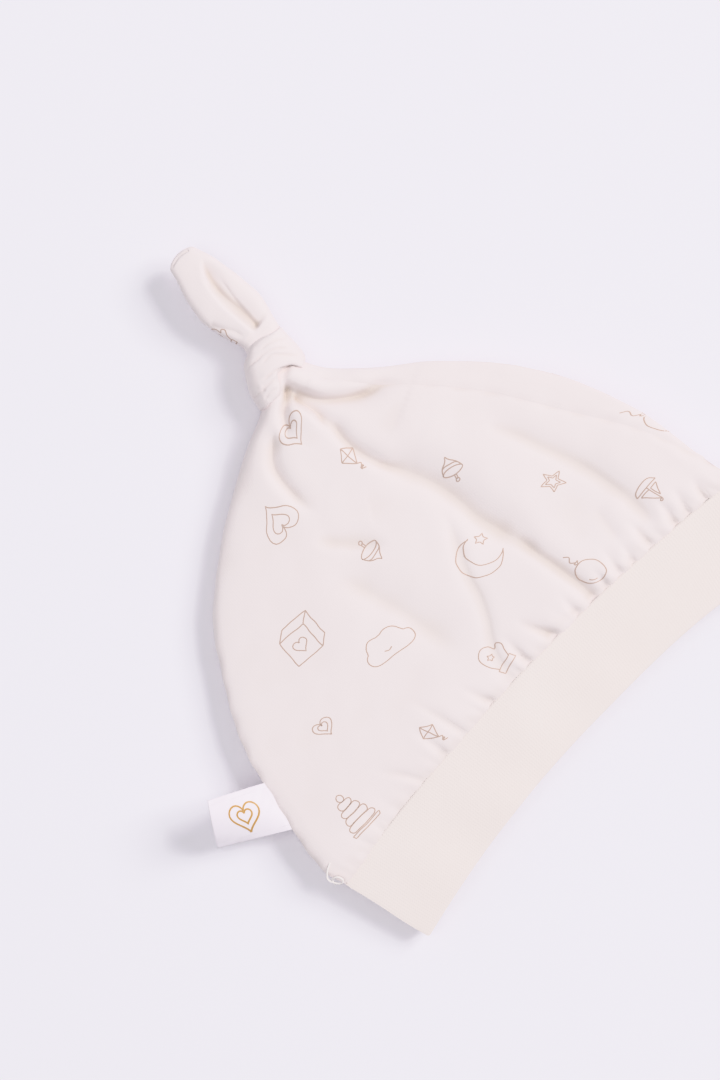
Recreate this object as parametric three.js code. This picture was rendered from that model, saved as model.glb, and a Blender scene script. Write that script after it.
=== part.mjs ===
// A newborn's knotted beanie in cotton jersey, lying almost flat on its back panel.
//
// Units are millimetres. +Y runs from the cuff towards the knot, +X across the hat and +Z up.
// The hat is one long tube: its outer surface is hatPoint(t, angle), where t is the distance from
// the cuff seam towards the knot and angle goes once round, from the +X side over the top (90
// degrees) to the -X side (180) and back underneath. The cuff, the two crown panels and their
// seams are cut from that one surface, and the knot and its tail carry on from its neck.

import * as THREE from 'three';

// ---- driving dimensions ----

const JERSEY_WALL = 1.0; // crown cloth, as thin as a solid of it can be
const CUFF_WALL = 1.3; // rib band folded double
const SEAM_GAP = 0.3; // clearance between pieces that are sewn or tied together

const CUFF_DEPTH = 27.3; // cuff seam to brim, at the sides
const CROWN_LENGTH = 109.5; // cuff seam to the neck under the knot
const FRONT_COLUMNS = 52; // two to each gather, so every crest and hollow has its own column
const FRONT_ROWS = 28;
const CROWDING = 0.6; // how far the crown's rows crowd towards the cuff seam and the neck, 0 to 1
const BACK_COLUMNS = 24;
const ROLLED_COLUMNS = 5; // those of them on the part that is rolled onto the top
const BACK_ROWS = 14;
const CUFF_COLUMNS = 56;
const CUFF_ROWS = 4;
const BRIM_STEPS = 3; // round the fold at the brim

// Sections of the tube. left and right are the sides' distances from the centre line, floor, edge
// and top the heights of the underside, the side folds and the crest, arch how far the middle of
// the section leads its sides towards the knot, lean how much farther its right half does, and
// seam the right side seam's angle in degrees.
const HAT = {
  columns: ['t', 'left', 'right', 'floor', 'edge', 'top', 'arch', 'lean', 'seam'],
  rows: [
    [-27.3, 73.3, 73.3, 0.0, 5.4, 8.2, 8.3, 6.0, 0],
    [-20.0, 75.4, 75.2, 0.0, 6.0, 8.8, 7.6, 4.4, 0],
    [-10.0, 78.2, 77.8, 0.0, 6.5, 9.6, 6.3, 2.2, 0],
    [0.0, 80.2, 79.2, 0.0, 6.9, 10.5, 5.2, 0.0, 4],
    [17.0, 78.3, 76.8, 0.0, 7.2, 11.9, 3.6, 0.0, 11],
    [32.0, 74.8, 74.5, 0.0, 6.9, 12.7, 2.0, 0.0, 22],
    [45.0, 71.0, 70.6, 0.0, 6.2, 13.1, 1.0, 0.0, 29],
    [57.0, 66.2, 65.4, 0.0, 5.5, 13.3, 0.0, 0.0, 33],
    [68.0, 59.4, 58.8, 0.0, 5.2, 13.5, 0.0, 0.0, 35],
    [78.0, 50.7, 50.8, 0.1, 5.2, 13.8, 0.0, 0.0, 37],
    [86.0, 41.8, 42.7, 0.3, 5.3, 14.2, 0.0, 0.0, 38],
    [95.6, 28.0, 31.2, 0.8, 6.2, 14.8, 0.0, 0.0, 38],
    [104.0, 12.2, 22.6, 1.8, 7.6, 15.2, 0.0, 0.0, 38],
    [109.5, -2.4, 19.4, 2.6, 8.6, 15.4, 0.0, 0.0, 38],
  ],
};
const TOP_ROUNDNESS = 0.7; // below 1 the crown's section is fuller than an ellipse
const UNDER_FLAT = 0.74; // sine of the angle at which the underside leaves the surface
const UNDER_ROUNDNESS = 1.6;
const LENGTH_STEP = 0.5; // step along and round the tube from which its slopes are measured
const ANGLE_STEP = 0.02;

// Where the crown is gathered into the cuff.
const GATHERS = 26;
const GATHER_HEIGHT = 0.8;
const GATHER_CREST = 4.5; // distance from the seam at which the gathers stand highest
const BLOUSE = 1.5; // how far the gathered cloth stands out over the seam
const BLOUSE_RISE = 5.0; // distance in which it does so
const BLOUSE_REACH = 40.0; // and in which it goes back to the plain tube

// Folds pressed into the front panel: depth and half-width of each valley, and its line from the
// knot downwards as x, t pairs.
const FOLDS = {
  columns: ['name', 'depth', 'halfWidth', 'line'],
  rows: [
    ['under_right_lobe', 3.0, 3.2, [[14, 107], [17, 98], [27, 89], [36, 85]]],
    ['long_valley', 2.4, 4.6, [[10, 106], [12.5, 88], [15.5, 64], [21, 42], [23, 12]]],
    ['under_left_lobe', 2.6, 3.0, [[7, 108], [3, 103], [-2, 97]]],
    ['left_curve', 1.8, 3.6, [[0, 104], [-6, 99], [-10, 91], [-11, 80]]],
    ['middle_crease', 1.1, 3.8, [[14, 54], [7, 42], [3, 28], [2, 14]]],
  ],
};
const SEAM_FADE = 0.08; // share of the front in which folds die out towards the right side seam
const FOLD_FADE = [103, 108.5]; // folds die out between these distances, before the neck

// The knot and its tail, as sections along Y. x is the section's middle, z its height, and
// halfWidth and halfHeight its size.
const KNOT = {
  columns: ['y', 'x', 'z', 'halfWidth', 'halfHeight'],
  rows: [
    [109.8, 10.9, 9.0, 8.2, 6.2],
    [111.6, 10.6, 9.0, 10.2, 7.6],
    [115.0, 10.7, 9.0, 10.8, 8.2],
    [119.0, 11.2, 9.1, 10.5, 8.1],
    [122.6, 13.0, 9.3, 8.8, 7.2],
    [125.2, 15.0, 9.5, 6.4, 5.2],
  ],
};
const KNOT_WRAPS = 5;
const WRAP_GROOVE = 0.075; // share of the radius that the creases between the wraps take away
const WRAP_SLANT = -0.16; // how far a crease climbs along Y for each millimetre across
const KNOT_ROWS = 20;
const KNOT_SIDES = 22;

const TAIL = {
  columns: ['y', 'x', 'z', 'halfWidth', 'halfHeight'],
  rows: [
    [125.5, 15.1, 9.7, 6.0, 4.6],
    [129.0, 14.9, 10.2, 6.8, 4.6],
    [134.0, 14.4, 10.6, 7.6, 4.5],
    [139.0, 14.1, 10.8, 8.0, 4.4],
    [144.0, 14.6, 10.8, 7.4, 4.2],
    [149.0, 15.3, 10.6, 6.3, 3.9],
    [153.0, 15.7, 10.3, 5.0, 3.5],
    [156.4, 16.0, 10.0, 3.8, 2.9],
    [158.5, 16.2, 9.8, 2.2, 1.7],
  ],
};
const TAIL_FOLD = [[15.7, 125], [15.2, 134], [16, 143], [19.8, 151]]; // x, y of the lengthwise crease
const TAIL_FOLD_DEPTH = 2.6;
const TAIL_FOLD_HALF_WIDTH = 2.0;
const TAIL_ROWS = 16;
const TAIL_SIDES = 20;

// The label, a folded ribbon held in the left side seam.
const LABEL_SEAM = [21.7, 36.5]; // t of its two edges along the seam
const LABEL_END = [[-96.7, 32.3], [-89.1, 44.5]]; // x, t of its folded end, edge by edge
const LABEL_HEIGHTS = [[7.1, 7.3, 7.6], [6.7, 12.2, 17.6]]; // z of each edge: at the seam, half-way, at the fold
const RIBBON = 0.45;
const LABEL_SLOT = 0.35; // between the ribbon's two layers
const LABEL_STEPS = 7;
const LABEL_FOLD_STEPS = 4;
const LABEL_ROWS = 3;

// ---- curves ----

/** A named column of a table as a smooth function of its first column. */
function columnCurve(table, name) {
  const at = table.rows.map((row) => row[0]);
  const values = table.rows.map((row) => row[table.columns.indexOf(name)]);
  const last = at.length - 1;
  const slopes = at.map((_, k) => {
    const before = Math.max(k - 1, 0);
    const after = Math.min(k + 1, last);
    return (values[after] - values[before]) / (at[after] - at[before]);
  });
  return (position) => {
    const clamped = THREE.MathUtils.clamp(position, at[0], at[last]);
    const k = Math.min(at.findLastIndex((value) => value <= clamped), last - 1);
    const step = at[k + 1] - at[k];
    const f = (clamped - at[k]) / step;
    const start = values[k] * (1 + 2 * f) * (1 - f) ** 2 + slopes[k] * step * f * (1 - f) ** 2;
    const end = values[k + 1] * (3 - 2 * f) * f ** 2 - slopes[k + 1] * step * (1 - f) * f ** 2;
    return start + end;
  };
}

/** All the columns of a table after the first, as functions by name. */
function tableCurves(table) {
  return Object.fromEntries(table.columns.slice(1).map((name) => [name, columnCurve(table, name)]));
}

/** The distance from x, y to a bent line, and how far along the line its nearest point is (0 to 1). */
function nearestOnLine(line, x, y) {
  let best = { distance: Infinity, share: 0 };
  const spans = line.length - 1;
  for (let k = 0; k < spans; k += 1) {
    const start = new THREE.Vector2(...line[k]);
    const run = new THREE.Vector2(...line[k + 1]).sub(start);
    const reach = new THREE.Vector2(x, y).sub(start);
    const f = THREE.MathUtils.clamp(reach.dot(run) / run.lengthSq(), 0, 1);
    const distance = reach.sub(run.multiplyScalar(f)).length();
    if (distance < best.distance) best = { distance, share: (k + f) / spans };
  }
  return best;
}

// ---- the tube ----

const hat = tableCurves(HAT);

/** A point of the hat before gathers and folds, on its outer surface or inset from it. */
function hatPoint(t, angle, inset = 0) {
  const middle = (hat.right(t) - hat.left(t)) / 2;
  const halfWidth = (hat.right(t) + hat.left(t)) / 2 - inset;
  const sine = Math.abs(Math.sin(angle));
  const rightwards = Math.max(0, Math.cos(angle));
  const [floor, edge, top] = [Math.max(0, hat.floor(t)) + inset, hat.edge(t), hat.top(t) - inset];
  const rise = (top - edge) * sine ** TOP_ROUNDNESS;
  const drop = (edge - floor) * (1 - (1 - Math.min(1, sine / UNDER_FLAT)) ** UNDER_ROUNDNESS);
  return new THREE.Vector3(
    middle + halfWidth * Math.cos(angle),
    t + hat.arch(t) * sine ** 2 + hat.lean(t) * (sine * rightwards) ** 2,
    Math.sin(angle) > 0 ? edge + rise : edge - drop,
  );
}

/** The outward normal of that surface. */
function hatNormal(t, angle) {
  const alongTube = hatPoint(t + LENGTH_STEP, angle).sub(hatPoint(t - LENGTH_STEP, angle));
  const round = hatPoint(t, angle + ANGLE_STEP).sub(hatPoint(t, angle - ANGLE_STEP));
  return alongTube.cross(round).normalize();
}

/** How far gathers and folds move a point of the front panel; across is its place from right to left. */
function frontRelief(t, angle, across) {
  const { x } = hatPoint(t, angle);
  const swell = (t / GATHER_CREST) * Math.exp(1 - t / GATHER_CREST);
  const sides = Math.sin(Math.PI * across) ** 0.5;
  const gathers = GATHER_HEIGHT * swell * Math.cos(2 * Math.PI * GATHERS * across) * sides;
  const blouse = BLOUSE * (1 - Math.exp(-t / BLOUSE_RISE)) * Math.exp(-t / BLOUSE_REACH) * Math.sin(angle);
  let folds = 0;
  for (const [, depth, halfWidth, line] of FOLDS.rows) {
    const { distance, share } = nearestOnLine(line, x, t);
    const valley = Math.exp(-((distance / halfWidth) ** 2));
    folds -= depth * valley * Math.sqrt(Math.max(0, 1 - share ** 2));
  }
  const fade = 1 - THREE.MathUtils.smoothstep(t, ...FOLD_FADE);
  return gathers + (blouse + folds * THREE.MathUtils.smoothstep(across, 0, SEAM_FADE)) * fade;
}

/** Angles that cut a section into stretches of equal length between two angles. */
function evenAngles(t, from, to, count, samples = 180) {
  const angles = Array.from({ length: samples + 1 }, (_, k) => from + ((to - from) * k) / samples);
  const lengths = [0];
  for (let k = 1; k <= samples; k += 1) {
    lengths.push(lengths[k - 1] + hatPoint(t, angles[k]).distanceTo(hatPoint(t, angles[k - 1])));
  }
  return Array.from({ length: count + 1 }, (_, i) => {
    const goal = (lengths[samples] * i) / count;
    const k = Math.max(1, lengths.findIndex((length) => length >= goal - 1e-9));
    const f = (goal - lengths[k - 1]) / (lengths[k] - lengths[k - 1]);
    return angles[k - 1] + (angles[k] - angles[k - 1]) * f;
  });
}

/** Distances along the crown, closer together at the cuff seam and at the neck. */
function crownRows(count) {
  return Array.from({ length: count + 1 }, (_, j) => {
    const even = j / count;
    const crowded = (1 - Math.cos(Math.PI * even)) / 2;
    const share = THREE.MathUtils.lerp(even, crowded, CROWDING);
    return THREE.MathUtils.lerp(SEAM_GAP, CROWN_LENGTH, share);
  });
}

// ---- solids ----

/** A closed body from rings or grids of points and the quads between them, facing outwards. */
function solid(points, quads, fans = []) {
  const index = quads.flatMap(([a, b, c, d]) => [a, b, c, a, c, d]).concat(fans.flat());
  const volume = index.reduce((sum, _, k) => {
    if (k % 3) return sum;
    const [a, b, c] = [points[index[k]], points[index[k + 1]], points[index[k + 2]]];
    return sum + a.dot(b.clone().cross(c));
  }, 0);
  const geometry = new THREE.BufferGeometry().setFromPoints(points);
  geometry.setIndex(volume < 0 ? index.reverse() : index);
  geometry.computeVertexNormals();
  return geometry;
}

/** A sheet with thickness: face(i, j) is its outside and lining(i, j) its inside, closed round the rim. */
function sheetSolid(columns, rows, face, lining) {
  const width = columns + 1;
  const points = [];
  for (const side of [face, lining]) {
    for (let j = 0; j <= rows; j += 1) {
      for (let i = 0; i <= columns; i += 1) points.push(side(i, j));
    }
  }
  const outside = (i, j) => j * width + i;
  const inside = (i, j) => width * (rows + 1) + outside(i, j);
  const quads = [];
  for (let j = 0; j < rows; j += 1) {
    for (let i = 0; i < columns; i += 1) {
      quads.push([outside(i, j), outside(i + 1, j), outside(i + 1, j + 1), outside(i, j + 1)]);
      quads.push([inside(i, j + 1), inside(i + 1, j + 1), inside(i + 1, j), inside(i, j)]);
    }
  }
  for (let i = 0; i < columns; i += 1) {
    quads.push([inside(i, 0), inside(i + 1, 0), outside(i + 1, 0), outside(i, 0)]);
    quads.push([outside(i, rows), outside(i + 1, rows), inside(i + 1, rows), inside(i, rows)]);
  }
  for (let j = 0; j < rows; j += 1) {
    quads.push([outside(0, j), outside(0, j + 1), inside(0, j + 1), inside(0, j)]);
    quads.push([inside(columns, j), inside(columns, j + 1), outside(columns, j + 1), outside(columns, j)]);
  }
  return solid(points, quads);
}

/** A ring whose wall section at(i, k) closes on itself, and which closes on itself round i. */
function ringSolid(around, sides, at) {
  const points = [];
  const quads = [];
  for (let i = 0; i < around; i += 1) {
    const next = (i + 1) % around;
    for (let k = 0; k < sides; k += 1) {
      const beside = (k + 1) % sides;
      points.push(at(i, k));
      quads.push([i * sides + k, next * sides + k, next * sides + beside, i * sides + beside]);
    }
  }
  return solid(points, quads);
}

/** Closed sections at(j, k) one after another along a body, with a flat cap on each end. */
function stackSolid(rows, sides, at) {
  const points = [];
  const quads = [];
  for (let j = 0; j <= rows; j += 1) {
    for (let k = 0; k < sides; k += 1) {
      const beside = (k + 1) % sides;
      points.push(at(j, k));
      if (j < rows) {
        quads.push([j * sides + k, j * sides + beside, (j + 1) * sides + beside, (j + 1) * sides + k]);
      }
    }
  }
  const fans = [];
  const first = points.length;
  for (const [middle, row] of [[first, 0], [first + 1, rows]]) {
    const ring = points.slice(row * sides, (row + 1) * sides);
    points.push(ring.reduce((sum, point) => sum.add(point), new THREE.Vector3()).divideScalar(sides));
    for (let k = 0; k < sides; k += 1) {
      const edge = [row * sides + k, row * sides + ((k + 1) % sides)];
      fans.push(row === 0 ? [middle, edge[1], edge[0]] : [middle, edge[0], edge[1]]);
    }
  }
  return solid(points, quads, fans);
}

// ---- the pieces ----

/** The upper jersey panel, from the right side seam over the top to the left one. */
function crownFront() {
  const rows = crownRows(FRONT_ROWS);
  const angles = rows.map((t) => {
    const edge = seamMargin(t);
    return evenAngles(t, THREE.MathUtils.degToRad(hat.seam(t)) + edge, Math.PI - edge, FRONT_COLUMNS);
  });
  const at = (i, j, inset) => {
    const [t, angle] = [rows[j], angles[j][i]];
    const relief = frontRelief(t, angle, i / FRONT_COLUMNS);
    return hatPoint(t, angle, inset).addScaledVector(hatNormal(t, angle), relief);
  };
  return sheetSolid(FRONT_COLUMNS, FRONT_ROWS, (i, j) => at(i, j, 0), (i, j) => at(i, j, JERSEY_WALL));
}

/** The lower jersey panel, which lies on the surface and rolls up to the front's right edge. */
function crownBack() {
  const rows = crownRows(BACK_ROWS);
  const flat = BACK_COLUMNS - ROLLED_COLUMNS;
  const angles = rows.map((t) => {
    const edge = seamMargin(t);
    const side = 2 * Math.PI;
    const end = side + THREE.MathUtils.degToRad(hat.seam(t)) - edge;
    const rolled = evenAngles(t, side, end, ROLLED_COLUMNS);
    return [...evenAngles(t, Math.PI + edge, side, flat), ...rolled.slice(1)];
  });
  const at = (i, j, inset) => hatPoint(rows[j], angles[j][i], inset);
  return sheetSolid(BACK_COLUMNS, BACK_ROWS, (i, j) => at(i, j, 0), (i, j) => at(i, j, JERSEY_WALL));
}

/** Half the gap between the panels at a side seam, as an angle. */
function seamMargin(t) {
  const above = hatPoint(t, Math.PI - ANGLE_STEP);
  const below = hatPoint(t, Math.PI + ANGLE_STEP);
  return (SEAM_GAP * ANGLE_STEP) / above.distanceTo(below);
}

/** The folded double band round the opening: a ring whose wall turns over at the brim. */
function cuff() {
  const outsideRows = CUFF_ROWS + 1;
  const sides = 2 * outsideRows + BRIM_STEPS - 1;
  const radius = CUFF_WALL / 2;
  const brim = -CUFF_DEPTH + radius;
  const rowAt = (share) => THREE.MathUtils.lerp(0, brim, share);
  const at = (i, k) => {
    const angle = (2 * Math.PI * i) / CUFF_COLUMNS;
    let t;
    let inset;
    if (k < outsideRows) {
      [t, inset] = [rowAt(k / CUFF_ROWS), 0];
    } else if (k < outsideRows + BRIM_STEPS - 1) {
      const turn = (Math.PI * (k - outsideRows + 1)) / BRIM_STEPS;
      [t, inset] = [brim - radius * Math.sin(turn), radius * (1 - Math.cos(turn))];
    } else {
      [t, inset] = [rowAt((sides - 1 - k) / CUFF_ROWS), CUFF_WALL];
    }
    return hatPoint(t, angle, inset);
  };
  return ringSolid(CUFF_COLUMNS, sides, at);
}

/** The tip of the crown wrapped round itself: a tight barrel with a crease between its wraps. */
function knot() {
  const size = tableCurves(KNOT);
  const [first, last] = [KNOT.rows[0][0], KNOT.rows.at(-1)[0]];
  const at = (j, k) => {
    const y = THREE.MathUtils.lerp(first, last, j / KNOT_ROWS);
    const angle = (2 * Math.PI * k) / KNOT_SIDES;
    const [across, up] = [size.halfWidth(y) * Math.cos(angle), size.halfHeight(y) * Math.sin(angle)];
    const phase = (y - first - WRAP_SLANT * across) / (last - first);
    const middle = Math.sin((Math.PI * j) / KNOT_ROWS);
    const groove = 1 - WRAP_GROOVE * middle * Math.abs(Math.cos(Math.PI * KNOT_WRAPS * phase)) ** 2;
    return new THREE.Vector3(size.x(y) + across * groove, y, size.z(y) + up * groove);
  };
  return stackSolid(KNOT_ROWS, KNOT_SIDES, at);
}

/** The closed tip of the crown that stands out of the knot, creased along its length. */
function knotTail() {
  const size = tableCurves(TAIL);
  const [first, last] = [TAIL.rows[0][0], TAIL.rows.at(-1)[0]];
  const at = (j, k) => {
    const y = THREE.MathUtils.lerp(first, last, j / TAIL_ROWS);
    const angle = (2 * Math.PI * k) / TAIL_SIDES;
    const x = size.x(y) + size.halfWidth(y) * Math.cos(angle);
    const { distance, share } = nearestOnLine(TAIL_FOLD, x, y);
    const valley = Math.exp(-((distance / TAIL_FOLD_HALF_WIDTH) ** 2)) * (1 - share ** 4);
    const up = size.halfHeight(y) * Math.sin(angle);
    return new THREE.Vector3(x, y, size.z(y) + up - (up > 0 ? TAIL_FOLD_DEPTH * valley : 0));
  };
  return stackSolid(TAIL_ROWS, TAIL_SIDES, at);
}

/** The side label: a ribbon that leaves the left side seam, folds over at its end and comes back. */
function sideLabel() {
  const columns = 2 * LABEL_STEPS + LABEL_FOLD_STEPS;
  const [first, second] = LABEL_HEIGHTS.map(([seam, half, fold]) => new THREE.SplineCurve([
    new THREE.Vector2(0, seam),
    new THREE.Vector2(0.5, half),
    new THREE.Vector2(1, fold),
  ]));
  const at = (i, j, depth) => {
    const across = j / LABEL_ROWS;
    const t = THREE.MathUtils.lerp(...LABEL_SEAM, across);
    const start = new THREE.Vector3(-hat.left(t) - SEAM_GAP, t, 0);
    const end = new THREE.Vector3(...LABEL_END[0], 0).lerp(new THREE.Vector3(...LABEL_END[1], 0), across);
    const onTop = i <= LABEL_STEPS;
    const below = i >= LABEL_STEPS + LABEL_FOLD_STEPS;
    const share = onTop ? i / LABEL_STEPS : (columns - i) / LABEL_STEPS;
    const half = RIBBON + LABEL_SLOT / 2 - depth;
    const turn = (Math.PI * (i - LABEL_STEPS)) / LABEL_FOLD_STEPS;
    const point = start.clone().lerp(end, onTop || below ? share : 1);
    const outwards = end.clone().sub(start).normalize();
    const height = (s) => THREE.MathUtils.lerp(first.getPoint(s).y, second.getPoint(s).y, across);
    if (onTop || below) return point.setZ(height(share) + (onTop ? half : -half));
    point.addScaledVector(outwards, half * Math.sin(turn));
    return point.setZ(height(1) + half * Math.cos(turn));
  };
  return sheetSolid(columns, LABEL_ROWS, (i, j) => at(i, j, 0), (i, j) => at(i, j, RIBBON));
}

// ---- the assembly ----

/** A named mesh in cloth of the given colour. */
function piece(name, geometry, color, roughness = 0.9) {
  const mesh = new THREE.Mesh(geometry, new THREE.MeshStandardMaterial({ color, roughness, metalness: 0 }));
  mesh.name = name;
  return mesh;
}

const JERSEY_COLOUR = 0xeee5e6;
const RIB_COLOUR = 0xeee6e4;
const SATIN_COLOUR = 0xf3eef0;

const group = new THREE.Group();
group.add(
  piece('crown_front', crownFront(), JERSEY_COLOUR),
  piece('crown_back', crownBack(), JERSEY_COLOUR),
  piece('cuff', cuff(), RIB_COLOUR),
  piece('knot', knot(), JERSEY_COLOUR),
  piece('knot_tail', knotTail(), JERSEY_COLOUR),
  piece('side_label', sideLabel(), SATIN_COLOUR, 0.45),
);

// The origin is on the surface, under the middle of the hat's bounding box.
const box = new THREE.Box3().setFromObject(group, true);
const middle = box.getCenter(new THREE.Vector3());
group.position.set(-middle.x, -middle.y, 0);
group.updateMatrixWorld(true);

export default group;
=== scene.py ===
"""A newborn's knotted beanie in printed cotton jersey, lying flat on a pale surface.

The hat is one long tube of cloth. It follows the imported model: sections from the brim to the neck
under the knot, which a formula rounds off. Gathers, folds, seams and the printed line drawings are
added to that shape as geometry, and the finishes add the knit and the weave.

Hat coordinates are millimetres: x across the hat, y from the cuff seam towards the knot and z up.
"""

from __future__ import annotations

import logging
import math
from collections.abc import Iterable, Sequence
from dataclasses import dataclass, field
from enum import Enum
from functools import cache

import bpy
import numpy as np
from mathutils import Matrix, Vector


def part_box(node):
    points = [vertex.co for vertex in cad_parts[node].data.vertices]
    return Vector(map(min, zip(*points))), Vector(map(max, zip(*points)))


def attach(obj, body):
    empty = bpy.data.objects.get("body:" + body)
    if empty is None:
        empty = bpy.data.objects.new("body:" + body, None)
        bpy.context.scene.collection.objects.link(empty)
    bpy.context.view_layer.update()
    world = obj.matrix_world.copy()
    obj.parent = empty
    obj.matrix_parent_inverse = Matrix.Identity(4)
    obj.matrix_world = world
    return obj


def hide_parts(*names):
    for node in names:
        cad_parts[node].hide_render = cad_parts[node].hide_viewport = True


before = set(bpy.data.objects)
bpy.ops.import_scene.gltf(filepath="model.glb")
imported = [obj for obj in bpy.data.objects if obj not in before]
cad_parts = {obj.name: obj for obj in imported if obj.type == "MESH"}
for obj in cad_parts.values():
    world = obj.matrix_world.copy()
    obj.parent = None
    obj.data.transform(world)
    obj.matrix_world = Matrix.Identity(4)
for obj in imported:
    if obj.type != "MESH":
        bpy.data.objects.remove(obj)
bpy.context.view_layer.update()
log = logging.getLogger("beanie")

MM = 0.001  # millimetres to metres
CLOTH_UNIT = 100.0  # a unit of the cloth map is this many mm
WAVES = 9  # that add up to an unevenness of cloth
Array = np.ndarray
Pair = tuple[float, float]
Line = tuple[Pair, ...]
Tree = bpy.types.NodeTree
Socket = bpy.types.NodeSocket


# ---- curves and surfaces ----


def smooth_step(low: float, high: float, value: Array) -> Array:
    """Eases from 0 at low to 1 at high.

    Args:
        low: where the step starts.
        high: where it ends; it may be below low for a falling step.
        value: the places to evaluate.

    Returns:
        The eased share at each place.
    """
    share = np.clip((value - low) / (high - low), 0.0, 1.0)
    return share * share * (3.0 - 2.0 * share)


def hermite(at: Array, values: Array, position: Array) -> Array:
    """A smooth curve through values.

    Args:
        at: rising positions of the values.
        values: one value for each of them, or one row of values.
        position: where the curve is wanted; outside the range it keeps its end value.

    Returns:
        The curve's values, with position's shape first.
    """
    slopes = np.gradient(values, at, axis=0)
    slopes[1:-1] = (values[2:] - values[:-2]) / (at[2:] - at[:-2]).reshape(-1, *[1] * (values.ndim - 1))
    clamped = np.clip(position, at[0], at[-1])
    k = np.clip(np.searchsorted(at, clamped, side="right") - 1, 0, len(at) - 2)
    shape = [*np.shape(clamped), *[1] * (values.ndim - 1)]
    step = (at[k + 1] - at[k]).reshape(shape)
    f = (clamped - at[k]).reshape(shape) / step
    start = values[k] * (1 + 2 * f) * (1 - f) ** 2 + slopes[k] * step * f * (1 - f) ** 2
    end = values[k + 1] * (3 - 2 * f) * f**2 - slopes[k + 1] * step * (1 - f) * f**2
    return start + end


def run_along(points: Array) -> Array:
    """The distance along a line to each of its points."""
    return np.concatenate([[0.0], np.cumsum(np.linalg.norm(np.diff(points, axis=0), axis=-1))])


def curve_through(points: Sequence[Sequence[float]], count: int) -> Array:
    """Evenly numbered places on a smooth curve through points.

    Args:
        points: the points it passes, in order.
        count: how many places are wanted.

    Returns:
        The places, one row each.
    """
    given = np.asarray(points, float)
    at = run_along(given)
    return hermite(at, given, np.linspace(0.0, at[-1], count))


def beside_curve(x: Array, y: Array, curve: Array) -> tuple[Array, Array]:
    """Measures places against a bent line.

    Args:
        x: the places' first coordinate.
        y: their second.
        curve: the line's points, one row each.

    Returns:
        Distances, positive to its left, and shares along it, both in x's shape.
    """
    places = np.stack([x.ravel(), y.ravel()], 1)
    best = np.full(len(places), np.inf)
    side = np.zeros(len(places))
    share = np.zeros(len(places))
    spans = len(curve) - 1
    for k, run in enumerate(np.diff(curve, axis=0)):
        reach = places - curve[k]
        f = np.clip(reach @ run / (run @ run), 0.0, 1.0)
        distance = np.hypot(*(reach - f[:, None] * run).T)
        turn = np.sign(run[0] * reach[:, 1] - run[1] * reach[:, 0])
        closer = distance < best
        best = np.where(closer, distance, best)
        side = np.where(closer, turn * distance, side)
        share = np.where(closer, (k + f) / spans, share)
    return side.reshape(x.shape), share.reshape(x.shape)


def rolling(x: Array, y: Array, wavelength: float, seed: int) -> Array:
    """A gentle, seeded unevenness.

    Args:
        x: the places' first coordinate.
        y: their second.
        wavelength: the typical distance between two rises.
        seed: picks one of the possible surfaces.

    Returns:
        Heights of about -1 to 1.
    """
    draw = np.random.default_rng(seed)
    total = np.zeros(np.shape(x))
    for _ in range(WAVES):
        heading = draw.uniform(0.0, 2 * math.pi)
        length = wavelength * draw.uniform(0.7, 1.6)
        phase = draw.uniform(0.0, 2 * math.pi)
        total += np.sin(2 * math.pi * (x * math.cos(heading) + y * math.sin(heading)) / length + phase)
    return total / math.sqrt(WAVES)


@dataclass(frozen=True)
class Fold:
    """A crease in cloth, along a curve seen from above, with the cloth swelling on either side.

    Attributes:
        depth: how far the crease lies below the plain cloth, in mm.
        width: half-widths of its slopes, to the left and to the right of the line's direction.
        swell: how far the cloth stands up beyond each slope.
        reach: how far from the line the swelling lasts.
        fade: shares of the line in which the fold sets in and dies out.
        line: the curve's points.
        sharpness: 1 is a knife crease, 2 a rounded valley.
    """

    depth: float
    width: Pair
    swell: Pair
    reach: float
    fade: Pair
    line: Line
    sharpness: float = 1.5

    def height(self, x: Array, y: Array) -> Array:
        """How far the fold moves the cloth outwards.

        Args:
            x: the places' first coordinate.
            y: their second.

        Returns:
            The heights, in x's shape.
        """
        side, share = beside_curve(x, y, curve_through(self.line, 5 * len(self.line)))
        on_left = side > 0
        away = np.abs(side)
        rise = 1 - np.exp(-((away / np.where(on_left, *self.width)) ** self.sharpness))
        swell = np.where(on_left, *self.swell) * np.exp(-((away / self.reach) ** 2))
        begin = smooth_step(0.0, max(self.fade[0], 1e-6), share)
        finish = 1.0 - smooth_step(1.0 - max(self.fade[1], 1e-6), 1.0, share)
        return (swell * rise - self.depth * (1 - rise)) * begin * finish


def softened(height: Array, reach: int, closed: bool) -> Array:
    """Blurs a relief.

    Args:
        height: the relief, one value for each place of a grid.
        reach: how many places around count.
        closed: whether the grid's last column joins its first.

    Returns:
        The blurred relief.
    """
    kernel = np.hanning(2 * reach + 3)[1:-1]
    kernel /= kernel.sum()
    for axis, mode in ((0, "edge"), (1, "wrap" if closed else "edge")):
        margin = [(reach, reach) if k == axis else (0, 0) for k in (0, 1)]
        height = np.apply_along_axis(np.convolve, axis, np.pad(height, margin, mode=mode), kernel, "valid")
    return height


def hollows(height: Array, reach: int, depth: float, closed: bool = False) -> Array:
    """Finds where a relief lies below the cloth around it.

    Args:
        height: the relief, one value for each place of a grid.
        reach: how many places around are looked at.
        depth: the difference in mm that counts as fully in a crease.
        closed: whether the grid's last column joins its first.

    Returns:
        Values from 0 to 1.
    """
    below = softened(height, reach, closed) - softened(height, reach // 3, closed)
    return np.clip(below / depth, 0.0, 1.0)


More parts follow.
